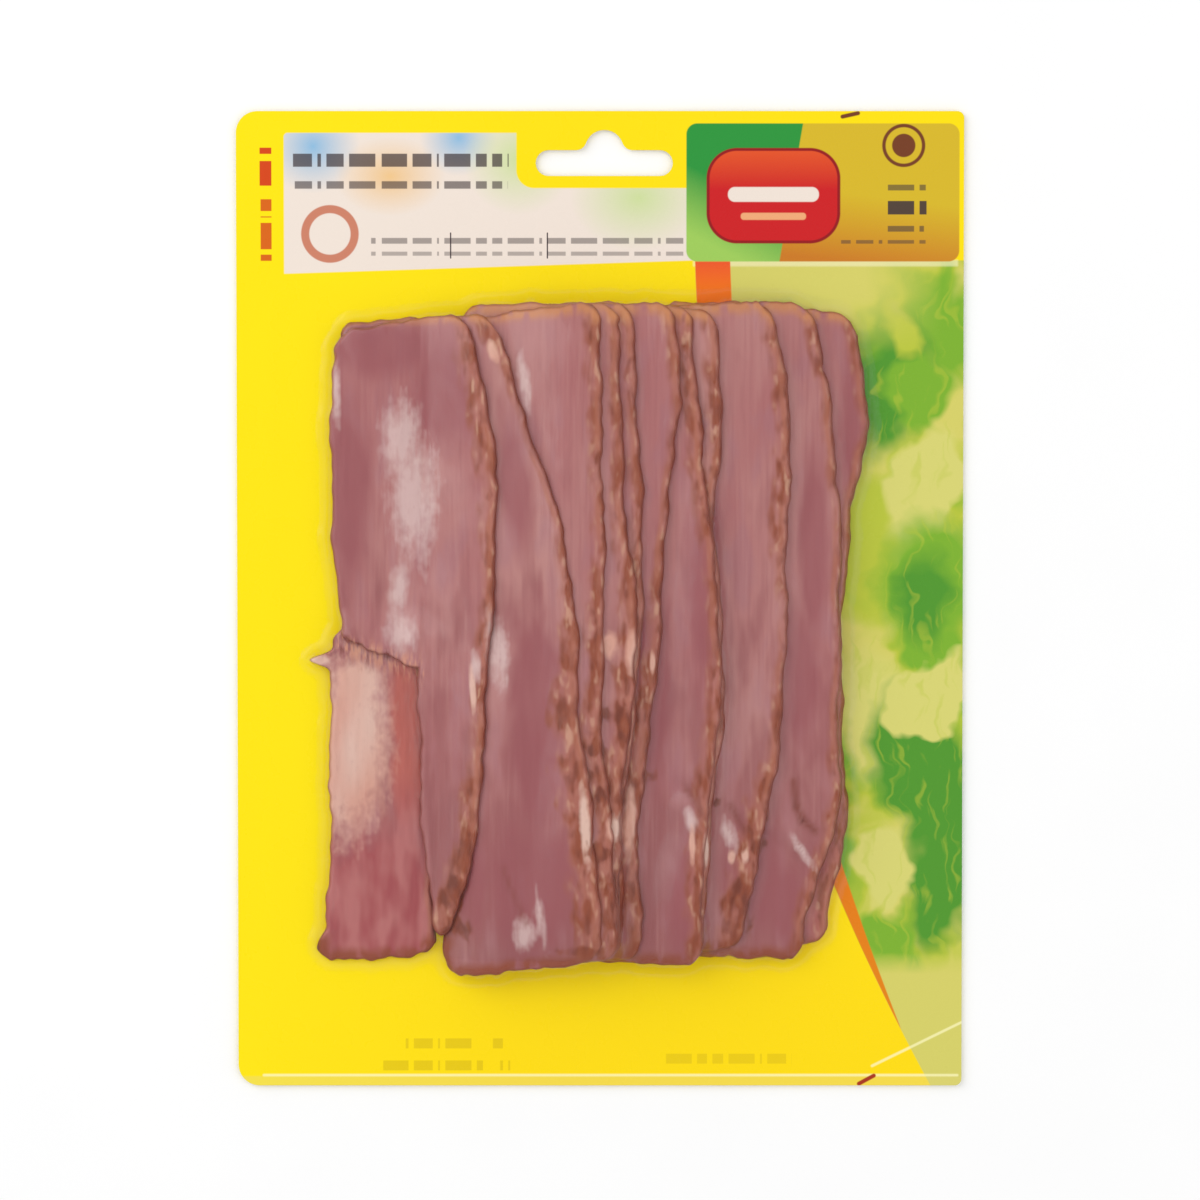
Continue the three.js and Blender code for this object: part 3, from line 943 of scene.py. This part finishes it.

# %% [markdown]
# ## One slice
#
# A slice starts as a flat grid with one unit from side to side and from foot to head, which is extruded
# into a slab with one unit of height. Each point then reads its own three numbers and goes to its place:
# across and along the outline, and up to the slice's upper or under face. The grid is finer at its borders,
# where the edge is rounded, the corners of the square are pulled in to arcs, and the under face stands out
# a little, so that the slanting crust shows from above. Its dark line is partly the smoked crust and partly
# painted shade where the slice meets the one below. For the torn top slice, a block of faces is deleted
# from the grid before it is extruded.

# %% Make the blank
SLICE_COLUMNS, SLICE_ROWS = 56, 188
TORN_COLUMN, TORN_ROW = 30 / SLICE_COLUMNS, 84 / SLICE_ROWS  # the torn corner's place in the grid


def slice_blank(name, torn):
    blank = add_grid(name, SLICE_COLUMNS, SLICE_ROWS)
    bpy.ops.object.mode_set(mode="EDIT")
    bpy.ops.mesh.select_all(action="SELECT")
    bpy.ops.transform.translate(value=(0.5, 0.5, 0))
    if torn:
        bpy.ops.mesh.select_all(action="DESELECT")
        bpy.ops.object.mode_set(mode="OBJECT")
        for face in blank.data.polygons:
            face.select = face.center.x < TORN_COLUMN and face.center.y < TORN_ROW
        bpy.ops.object.mode_set(mode="EDIT")
        bpy.ops.mesh.delete(type="FACE")
        bpy.ops.mesh.select_all(action="SELECT")
    raise_to_slab(1)
    return blank


# %% Uneven outlines
RAGGED = 0.28  # how uneven the ends are
TORN = 0.9  # and the torn edge
CRUMBLE = 0.16  # and the long edges


def ragged_end(x, seed, amount=RAGGED):
    return amount * (waves(x, np.zeros(1), seed, 9, 9, 5) + 0.6 * waves(x, np.zeros(1), seed + 50, 4, 4, 5))


def roughened(outline, seed):
    foot, head, left, right = (outline[name] for name in ("foot", "head", "left", "right"))
    return {
        "left": lambda y: left(y) + CRUMBLE * waves(np.zeros(1), y, seed + 20, 6, 6),
        "right": lambda y: right(y) + CRUMBLE * waves(np.zeros(1), y, seed + 30, 6, 6),
        "foot": lambda x: foot(x) + ragged_end(x, seed, TORN if outline is body else RAGGED),
        "head": lambda x: head(x) + ragged_end(x, seed + 7),
    }


def to_side(outline, name, x, y):
    """How far inside one of the outline's four lines a point lies."""
    at = {"left": y, "right": y, "foot": x, "head": x}[name]
    gap = (y if at is x else x) - outline[name](at)
    return gap if name in ("left", "foot") else -gap


# %% Places inside an outline
EDGE_FINENESS = 0.6  # 0 spaces the grid evenly, and towards 1 its borders get ever finer
CORNER_RADIUS = 5
SETTLE_ROUNDS = 4


def finer_at_ends(share):
    return share - EDGE_FINENESS * np.sin(2 * np.pi * share) / (2 * np.pi)


def round_corners(x, y, outline, corners):
    """Pulls the points near square corners in to arcs."""
    for side_name, end_name in corners:
        a = 1 - to_side(outline, side_name, x, y) / CORNER_RADIUS
        b = 1 - to_side(outline, end_name, x, y) / CORNER_RADIUS
        near = (a > 0) & (b > 0)
        a, b = np.clip(a, 0, 1), np.clip(b, 0, 1)
        shift_a = CORNER_RADIUS * a * (1 - np.sqrt(1 - b**2 / 2))
        shift_b = CORNER_RADIUS * b * (1 - np.sqrt(1 - a**2 / 2))
        x = np.where(near, x + shift_a * (1 if side_name == "left" else -1), x)
        y = np.where(near, y + shift_b * (1 if end_name == "foot" else -1), y)
    return x, y


# %% The place of each point of a blank
def lay_out(number, u, v):
    """Places for u across and v along, before they get their height. The torn slice has a split grid."""
    parts = [(roughened(outline, 10 * number), corners) for outline, corners in pile[number]["parts"]]
    main, narrow = parts[0][0], parts[-1][0]
    column, row = (TORN_COLUMN, TORN_ROW) if len(parts) > 1 else (0, 0)
    on_right, above = u >= column, v >= row
    across = finer_at_ends(np.where(on_right, u - column, u) / np.where(on_right, 1 - column, column or 1))
    along = finer_at_ends(np.where(above, v - row, v) / np.where(above, 1 - row, row or 1))
    x, y = np.zeros_like(u), np.zeros_like(v)
    for _ in range(SETTLE_ROUNDS):
        left, middle, right = main["left"](y), narrow["left"](y), main["right"](y)
        x = blend(np.where(on_right, middle, left), np.where(on_right, right, middle), across)
        foot, tear, head = narrow["foot"](x), main["foot"](x), main["head"](x)
        y = blend(np.where(above, tear, foot), np.where(above, head, tear), along)
    for outline, corners in reversed(parts):
        x, y = round_corners(x, y, outline, corners)
    return x, y


# %% How far inside its outline a point lies
def inside_part(outline, corners, x, y):
    gaps = {name: to_side(outline, name, x, y) for name in ("left", "right", "foot", "head")}
    inside = np.minimum.reduce(list(gaps.values()))
    for side_name, end_name in corners:
        a, b = CORNER_RADIUS - gaps[side_name], CORNER_RADIUS - gaps[end_name]
        arc = CORNER_RADIUS - np.hypot(a, b)
        inside = np.where((a > 0) & (b > 0), np.minimum(inside, arc), inside)
    return inside


def inside_slice(number, x, y):
    parts = [(roughened(outline, 10 * number), corners) for outline, corners in pile[number]["parts"]]
    return np.maximum.reduce([inside_part(outline, corners, x, y) for outline, corners in parts])


# %% The face of a slice
ROUND_SHARE = 0.48  # an edge is rounded over this share of the slice's thickness
RELIEF = 0.07  # height of the meat's grain
LUMPS = 0.12  # and of its soft unevenness
CRUST_LUMPS = 0.1


def meat_relief(number, x, y, inside):
    grain = RELIEF * waves(x, y, 100 + number, 2.2, 16, 10)
    soft = LUMPS * waves(x, y, 200 + number, 14, 30, 6)
    crust = CRUST_LUMPS * waves(x, y, 300 + number, 3.2, 5.5, 8) * np.exp(-((inside / 3) ** 2))
    return grain + soft + crust


def slice_face(number, x, y, inside):
    """Height of a slice's upper face over the web, and how thick it is there."""
    count = pile[number]["count"](x, y)
    thickness = slice_thickness(count, y)
    radius = ROUND_SHARE * thickness
    near = 1 - np.clip(inside / radius, 0, 1)
    drop = radius * (1 - np.sqrt(1 - near**2))
    flat = stack_height(count, y) - crease_depth(x, y)
    return flat - drop + meat_relief(number, x, y, inside) * (1 - near), thickness, flat


# %% [markdown]
# ## Marks on the meat
#
# Smoked meat isn't even. Pale patches are painted sheen and highlights of the film where it bears on the
# meat, partly over pale fat. Cream flecks, some of them painted highlights on the kinks of the edges, and
# dark scorched spots sit along the crust, and the short slice at the side is mostly fat above and raw red
# below.
# Each mark is a soft oval at its own place. The slices store how deep inside such an oval each point lies,
# and the material breaks the ovals' borders up with noise, so that they never look drawn.

# %% The marks
FAR_OUTSIDE = -2.0  # the depth where no mark is near

# Each is x, y, half width and half length in mm, and its lean in degrees, anticlockwise.
# Painted sheen and highlights of the film on the meat, partly over pale fat.
SHEEN_AND_PALE_FAT = [
    (-46.2, 37.5, 5.6, 11, 0), (-43.4, 23.5, 6.8, 17.5, 0), (-47.2, 2.6, 2.8, 9, -8),
    (-46.4, -7.4, 4.6, 5.6, 0), (-17.4, 50.4, 1.6, 8.2, 8), (-61.6, 48.6, 1.2, 9.6, 2),
    (-13.8, -73.6, 1.3, 9.2, 8), (-17.6, -77.2, 3.0, 5.2, 0), (46.9, -58.1, 1.3, 6.6, 34),
    (30.2, -54.4, 2.0, 4.8, 18), (21.2, -51, 1.8, 3.6, 12), (-28.9, -15.4, 1.5, 4.4, 4),
    (-23.6, -12, 3.2, 11, 5),
]
# Fat, and cream painted highlights on the kinks of the edges and along the top slice's rim.
FAT_AND_HIGHLIGHTS = [
    (-58.6, -35, 10.6, 23, -3), (-57, -20, 7.4, 7, 0), (-66, -14, 3.5, 1.6, 0),
    (-29.6, -20.4, 0.9, 6.2, 4), (2.2, -10, 2.2, 3.4, 0), (7.4, -11.6, 1.7, 5.6, 0),
    (3.4, -52.6, 2.2, 3.4, 0), (6.9, -51, 1.5, 9.4, -2), (-3.4, -52, 1.4, 10, 4),
    (21.4, -56.4, 0.8, 5.4, 0), (24.6, -57.6, 0.8, 4, 0), (30.6, -59.6, 1.0, 2, 0),
    (33.8, -59.4, 1.0, 2, 0), (12.2, -14, 0.7, 3.2, 0), (-24.8, 58, 1.4, 3, 20),
]
SCORCHED = [
    (0.6, -26.6, 2.8, 1.9, 0), (-1.2, -34, 2.8, 2.3, 0), (5.6, -29, 1.4, 8.6, 0),
    (4.8, -45.6, 1.9, 2.4, 0), (0.2, -44.8, 1.9, 2.4, 0), (10.6, -41, 3.6, 2.2, 0),
    (0.4, -58.6, 3.4, 2.6, 0), (3.4, -68, 2.2, 6.6, 0), (4.2, -76, 1.2, 5.2, 0), (27, -47, 1.2, 2, 0),
    (39, -49.4, 1.3, 2.4, 0), (36.4, -57.4, 2.8, 2.0, 0), (32.8, -69.6, 2.2, 8.6, 4),
    (-31.4, -58.6, 2.2, 5, 0), (-33.6, -69, 3.2, 5.6, 0), (-33.4, -76, 4, 3, 0), (-2.6, -81.4, 5, 1.6, 0),
]
RAW = [
    (-51, -72, 20, 22, 0), (-44.6, -24, 5, 13, 0), (-44.6, -44, 4.4, 16, 0), (54, -66, 8, 20, 0),
]
DEEP = [
    (-59.4, 26, 7, 26, 0), (-50, 59, 16, 8, 0), (-35, 50, 10, 16, 0), (-19.8, 28, 4.4, 20, 6),
    (-14, -29, 9, 30, 0), (-15, -68, 14, 20, 0), (-30, -64, 5, 16, 0), (12, -20, 5, 26, 0),
    (24, 4, 5, 24, 0), (20, -70, 6, 16, 0), (36, -64, 9, 16, 0), (50, 12, 4, 28, 0), (47, -18, 5, 20, 0),
    (43, -71, 5, 12, 0), (52, -70, 5, 14, 0), (60, 44, 4, 20, 0),
]


print("marks", sum(len(marks) for marks in (SHEEN_AND_PALE_FAT, FAT_AND_HIGHLIGHTS, SCORCHED, RAW, DEEP)))


def depth_in(marks, x, y):
    """1 in the middle of a mark, 0 at its border and less outside. The deepest one counts."""
    deepest = np.full_like(x + y, FAR_OUTSIDE)
    for mark_x, mark_y, half_width, half_length, lean in marks:
        angle = math.radians(lean)
        dx, dy = x - mark_x, y - mark_y
        across = (dx * math.cos(angle) + dy * math.sin(angle)) / half_width
        along = (dy * math.cos(angle) - dx * math.sin(angle)) / half_length
        deepest = np.maximum(deepest, 1 - np.hypot(across, along))
    return deepest


# %% The crust's width along each slice's right edge, at the stations
CRUST_WIDTH = [
    [0.5, 0.5, 0.5, 0.5, 0.5, 0.5, 0.5],
    [6, 4, 2.2, 2.6, 3, 4, 3],
    [5, 6.5, 5.5, 3, 1, 0.7, 4],
    [4, 5, 4, 3, 2, 2.4, 3],
    [4, 4, 4, 3.5, 2.4, 2.4, 3],
    [3, 4, 4, 3, 2.4, 2, 3],
    [3, 4, 4.5, 2.4, 1.2, 1, 3],
    [3, 3, 2.6, 1.6, 2.4, 3, 3],
    [3, 3, 2, 1.6, 3.4, 2.6, 2.4],
    [6.5, 5, 2, 1, 3.2, 2.6, 3],
    [2, 2.6, 1.2, 1, 1, 1.6, 2.4],
    [3.5, 3, 1.2, 1, 1.2, 1.4, 2.2],
]

# %% How light each slice is, from 0 to 1
TONES = [0.4, 0.4, 0.54, 0.38, 0.45, 0.33, 0.34, 0.32, 0.62, 0.5, 0.42, 0.35]

# %% Make the slices
TEAR_SHIFT, TEAR_REACH, TEAR_END = 0.8, 2.6, -41  # shreds show down from the tear and up to this x
SKIN = 0.04  # gap between a slice and what it lies on
CRUST_SLANT = 0.35  # how far the under face stands out beyond the upper one
THINNEST = 0.1  # of a slice, at its border
PAST_EDGE = -0.6  # the under face's border counts as this far inside the edge, so it is painted dark, as crust and painted shade


def make_slice(number):
    piece = slice_blank(pile[number]["name"], torn=number == 1)
    u, v, w = (points_of(piece) * MM).T
    x, y = lay_out(number, u, v)
    inside = np.maximum(inside_slice(number, x, y), 0)
    top, thickness, flat = slice_face(number, x, y, inside)
    under = np.maximum(flat - thickness, 0) + SKIN
    on_under = w < 0.5
    rim = to_side(pile[number]["parts"][0][0], "right", x, y)
    border = on_under & (inside < 0.01)
    slant = CRUST_SLANT * np.clip(thickness / SLICE_LOFT, 0.4, 1)
    x = np.where(border & (np.abs(rim) < 0.3), x + slant, x)
    z = web_thickness + np.where(on_under, np.minimum(under, top - THINNEST), top)
    place_points(piece, np.column_stack([x, y, z]))
    rim = np.where(border, np.minimum(rim, PAST_EDGE), rim)
    inside = np.where(border, PAST_EDGE, inside)
    crust = through_stations(CRUST_WIDTH[number], y)
    store(piece, "edges", "FLOAT_VECTOR", np.column_stack([rim, inside, crust]))
    depths = [depth_in(marks, x, y) for marks in (SHEEN_AND_PALE_FAT, FAT_AND_HIGHLIGHTS, SCORCHED)]
    store(piece, "marks", "FLOAT_VECTOR", np.column_stack(depths))
    raw = depth_in(RAW, x, y) if number in (0, len(pile) - 1) else np.full_like(x, FAR_OUTSIDE)
    deep = depth_in(DEEP, x, y)
    # How near a crease a point is, for the painted shade in it.
    crease_shade = np.clip(crease_depth(x, y, FOLDS) / 0.5, 0, 1)
    store(piece, "flesh", "FLOAT_VECTOR", np.column_stack([raw, deep, crease_shade]))
    torn = np.exp(-(((y - body["foot"](x) + TEAR_SHIFT) / TEAR_REACH) ** 2)) * (x < TEAR_END) * (number < 2)
    own = [np.full_like(x, number), np.full_like(x, TONES[number]), torn]
    store(piece, "own", "FLOAT_VECTOR", np.column_stack(own))
    select_only(piece)
    bpy.ops.object.shade_smooth_by_angle(angle=math.radians(55))
    return piece


slices = [make_slice(number) for number in range(len(pile))]
print("slices", len(slices), "with", sum(len(s.data.polygons) for s in slices), "faces")

# %% [markdown]
# ## The meat's finish
#
# Cured, smoked meat is a muted mauve pink with soft clouds, fine fibres along the slice, and a moist sheen.
# Its smoked outside makes the crust: tan at first, then brown in beads, and darkest at the very edge,
# where the dark is partly crust and partly painted shade where the slice meets the one below. Creases get a
# painted shade too. One material does for all slices: each point knows how far it is from the edge, how wide
# the crust is there, and which slice it is on, so that no two slices have the same clouds. The finish is
# built
# up like a painting: each layer is an ink and a mask that says how strongly it covers what lies under it.

# %% Inks of the meat
MEAT_LIGHT = colour(190, 136, 130)
MEAT_ROSE = colour(169, 103, 103)
MEAT_DEEP = colour(146, 80, 82)
MEAT_MAUVE = colour(160, 106, 116)
MEAT_WINE = colour(150, 78, 84)
RAW_RED = colour(160, 68, 72)
RAW_PINK = colour(184, 108, 106)
RAW_ORANGE = colour(186, 94, 82)
SHRED_TAN = colour(214, 150, 122)
PALE_SHEEN = colour(214, 184, 180)
CREAM_FAT_AND_HIGHLIGHT = colour(232, 198, 182)
PINK_FAT_AND_HIGHLIGHT = colour(222, 166, 146)
CRUST_TAN = colour(172, 102, 78)
CRUST_CREAM = colour(216, 170, 142)
CRUST_BROWN = colour(140, 64, 34)
CRUST_DARK = colour(112, 44, 22)
# Dark crust and painted shade: the slices' very edges, and the painted shade in the creases.
DARK_EDGE_AND_SHADE = colour(126, 56, 38)
HEAD_TAN = colour(196, 128, 82)

# %% What each point of the meat knows
meat = Finish("smoked_meat")
x, y, _ = meat.place()
number, tone, torn = meat.stored("own")
raw, deep, crease_shade = meat.stored("flesh")
rim, inside, crust_width = meat.stored("edges")
sheen_and_pale_fat, fat_and_highlights, scorched = meat.stored("marks")
shift = number * 7.3
at_end = abs(y - MEAT_MIDDLE).ramp(70.5, 73)

# %% Its clouds, fibres and beads
clouds = meat.noise(x / 14, y / 40, shift)
patches = meat.noise(x / 5, y / 16, shift + 3)
fibres = meat.noise(x / 0.9, y / 22, shift + 5, roughness=0.55)
speckle = meat.noise(x / 0.9, y / 1.6, shift + 9)
border_noise = meat.noise(x / 1.6, y / 2.6, shift + 11, detail=2.5)
beads = meat.noise(x / 2.6, y / 6.5, shift + 15, detail=1.5)
flecks = meat.noise(x / 1.7, y / 4.2, shift + 19, detail=1.5)
shreds = meat.noise(x / 0.8, y / 4, 4.4)
print("meat so far", len(meat.tree.nodes), "nodes")

# %% Its flesh
raw_ink = meat.mix(y.ramp(-54, -40), meat.mix(patches.ramp(0.4, 0.6), RAW_RED, RAW_PINK), RAW_ORANGE)
flesh_layers = [
    ((clouds - 0.5 + tone).ramp(0.3, 0.85), MEAT_LIGHT),
    ((patches - y * 0.0036).ramp(0.48, 0.72) * 0.65, MEAT_DEEP),
    (patches.ramp(0.46, 0.32) * 0.35, MEAT_MAUVE),
    (fibres.ramp(0.52, 0.7) * 0.25, MEAT_DEEP),
    (fibres.ramp(0.46, 0.3) * 0.2, MEAT_LIGHT),
    ((deep + (patches - 0.5) * 0.8).ramp(-0.15, 0.45) * 0.76, MEAT_WINE),
    ((raw + (patches - 0.5) * 0.8).ramp(-0.15, 0.35) * 0.85, raw_ink),
]

# %% Its crust
in_crust = (rim - crust_width * (beads * 1.4 + 0.3)).ramp(1.5, -1.3)
light_line = abs(rim - 1.3).ramp(0.9, 0.2) * patches.ramp(0.42, 0.56)
crust_layers = [
    (in_crust * 0.66, CRUST_TAN),
    (in_crust * beads.ramp(0.45, 0.6) * 0.85, CRUST_BROWN),
    (in_crust * flecks.ramp(0.53, 0.67) * 0.6, CRUST_DARK),
    (in_crust * flecks.ramp(0.43, 0.3) * 0.5, CRUST_CREAM),
    (light_line * 0.55, CRUST_TAN),
]

# %% Its marks and its edge
# Painted sheen and highlights, partly pale fat, with broken borders.
sheen_and_pale_fat_mask = (sheen_and_pale_fat + (border_noise - 0.5) * 0.9 + (fibres - 0.5) * 0.7).ramp(-0.05, 0.7)
# Fat, and cream painted highlights on the edges' kinks.
fat_and_highlight_mask = (fat_and_highlights + (border_noise - 0.5) * 0.7).ramp(-0.1, 0.45)
scorch_mask = (scorched + (beads - 0.5) * 2.2 + (border_noise - 0.5) * 1.2).ramp(-0.05, 0.4)
end_ink = meat.mix(y.ramp(-10, 10), CRUST_BROWN, HEAD_TAN)
mark_layers = [
    (sheen_and_pale_fat_mask * 0.78, PALE_SHEEN),
    (fat_and_highlight_mask * 0.8, meat.mix(clouds.ramp(0.4, 0.6), CREAM_FAT_AND_HIGHLIGHT, PINK_FAT_AND_HIGHLIGHT)),
    (scorch_mask * 0.85, meat.mix(flecks.ramp(0.4, 0.6), CRUST_BROWN, CRUST_DARK)),
    (torn * shreds.ramp(0.48, 0.6) * 0.8, SHRED_TAN),
    (torn * shreds.ramp(0.42, 0.34) * 0.6, CRUST_DARK),
    # Painted shade in the creases.
    (crease_shade * 0.7, DARK_EDGE_AND_SHADE),
    (inside.ramp(3.6, 1.4) * beads.ramp(0.3, 0.48) * at_end * 0.9, end_ink),
    # The very edge: dark crust and painted shade where the slice meets the one below.
    (inside.ramp(0.7, 0.0) * 0.75, DARK_EDGE_AND_SHADE),
    (speckle.ramp(0.58, 0.75) * 0.12, MEAT_DEEP),
]

# %% The meat's shader
meat.end_with_principled(
    {
        "Base Color": meat.layered(MEAT_ROSE, flesh_layers + crust_layers + mark_layers),
        "Roughness": in_crust * 0.15 + 0.4,
        "Specular IOR Level": 0.35,
        "Normal": meat.bump(fibres * 0.6 + speckle * 0.4 + in_crust * flecks, 0.3, 0.3 * MM),
    }
)
for piece in slices:
    piece.data.materials.append(meat.material)
    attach(piece, "root")
    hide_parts("sealed_strips")

# %% [markdown]
# ## The film
#
# The film is a thin clear skin that vacuum holds against the meat. It follows every slice, bridges the foot
# of each step, and comes down to the web in a short tent. It could be draped by a cloth simulation, but the
# suction leaves it no freedom: it lies on the highest thing under it, and only bends as sharply as a film
# can. So a grid takes the height of the pile below, spread by one cell so that no edge pokes through, and
# is then relaxed like a stretched membrane that may not go lower.

# %% The pile's upper face under a grid
FILM_LEFT, FILM_RIGHT, FILM_LOW, FILM_HIGH = -74, 72, -95, 78
FILM_CELL = 0.85
film_columns = round((FILM_RIGHT - FILM_LEFT) / FILM_CELL)
film_rows = round((FILM_HIGH - FILM_LOW) / FILM_CELL)

film = add_grid("clear_film", film_columns, film_rows)
film_points = points_of(film) * MM + 0.5
film_x = blend(FILM_LEFT, FILM_RIGHT, film_points[:, 0])
film_y = blend(FILM_LOW, FILM_HIGH, film_points[:, 1])
order = np.lexsort((np.round(film_points[:, 0] * film_columns), np.round(film_points[:, 1] * film_rows)))
grid_shape = (film_rows + 1, film_columns + 1)
gx = film_x[order].reshape(grid_shape)
gy = film_y[order].reshape(grid_shape)

pile_height = np.zeros(grid_shape)
for index in range(len(pile)):
    inside_here = inside_slice(index, gx, gy)
    face, _, _ = slice_face(index, gx, gy, np.maximum(inside_here, 0))
    pile_height = np.where(inside_here >= 0, np.maximum(pile_height, face), pile_height)
print("film", grid_shape, "points over a pile of", round(float(pile_height.max()), 1), "mm")

# %% Relax the film over it
FILM_GAP = 0.1  # between the film and the meat
RELAX_ROUNDS = 4
TUCK = 0.1  # the film's border dips this far into the web, where it is sealed on
WRINKLE = 0.03


def neighbours(height):
    """The four heights next to each point of the grid."""
    padded = np.pad(height, 1, mode="edge")
    return padded[2:, 1:-1], padded[:-2, 1:-1], padded[1:-1, 2:], padded[1:-1, :-2]


spread_height = np.maximum.reduce([pile_height, *neighbours(pile_height)])
membrane = spread_height.copy()
for _ in range(RELAX_ROUNDS):
    membrane = np.maximum(spread_height, sum(neighbours(membrane)) / 4)

rise = smoothstep(membrane, 0.0, 0.5)
wrinkles = WRINKLE * waves(gx, gy, 71, 5, 6, 12) * rise
membrane = web_thickness - TUCK + membrane + (TUCK + FILM_GAP) * rise + wrinkles
heights = np.empty(len(film_points))
heights[order] = membrane.ravel()
place_points(film, np.column_stack([film_x, film_y, heights]))
print("film rises to", round(float(membrane.max()), 1), "mm")

# %% Give the film its thickness
FILM_THICKNESS = 0.05

select_only(film)
skin = film.modifiers.new("thickness", "SOLIDIFY")
skin.thickness = FILM_THICKNESS * MM
skin.offset = 0
bpy.ops.object.modifier_apply(modifier=skin.name)
bpy.ops.object.shade_smooth()
print("film", len(film.data.polygons), "faces")

# %% [markdown]
# ## The film's finish
#
# Clear film shows only by what it reflects. A Principled shader with a low alpha would dim its own
# highlights, so a Mix Shader weighs a transparent shader against a glossy one by how much light a thin
# plastic really turns back, which the Fresnel node gives: little straight on, and more at a slant.

# %% Film
FILM_IOR = 1.33
FILM_GLOSS = 0.4  # a soft film that touches moist meat turns back less light than a free sheet
FILM_SHINE_LIMIT = 0.03  # also where it slants
film_finish = Finish("clear_film")
x, y, _ = film_finish.place()
film_grain = film_finish.noise(x / 3, y / 5)
film_bump = film_finish.bump(film_grain, 0.15, 0.3 * MM)
clear = film_finish.add("ShaderNodeBsdfTransparent")
sockets = {"Base Color": (1, 1, 1, 1), "Metallic": 1.0, "Normal": film_bump}
sockets["Roughness"] = film_grain * 0.1 + 0.12
gloss = film_finish.add("ShaderNodeBsdfPrincipled", sockets=sockets)
turned_back = film_finish.add("ShaderNodeFresnel", sockets={"IOR": FILM_IOR, "Normal": film_bump})
turned_back = (turned_back * FILM_GLOSS).at_most(FILM_SHINE_LIMIT)
film_shader = film_finish.add("ShaderNodeMixShader", sockets={0: turned_back, 1: clear, 2: gloss})
film.data.materials.append(film_finish.end(film_shader))
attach(film, "root")
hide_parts("sealed_strips")
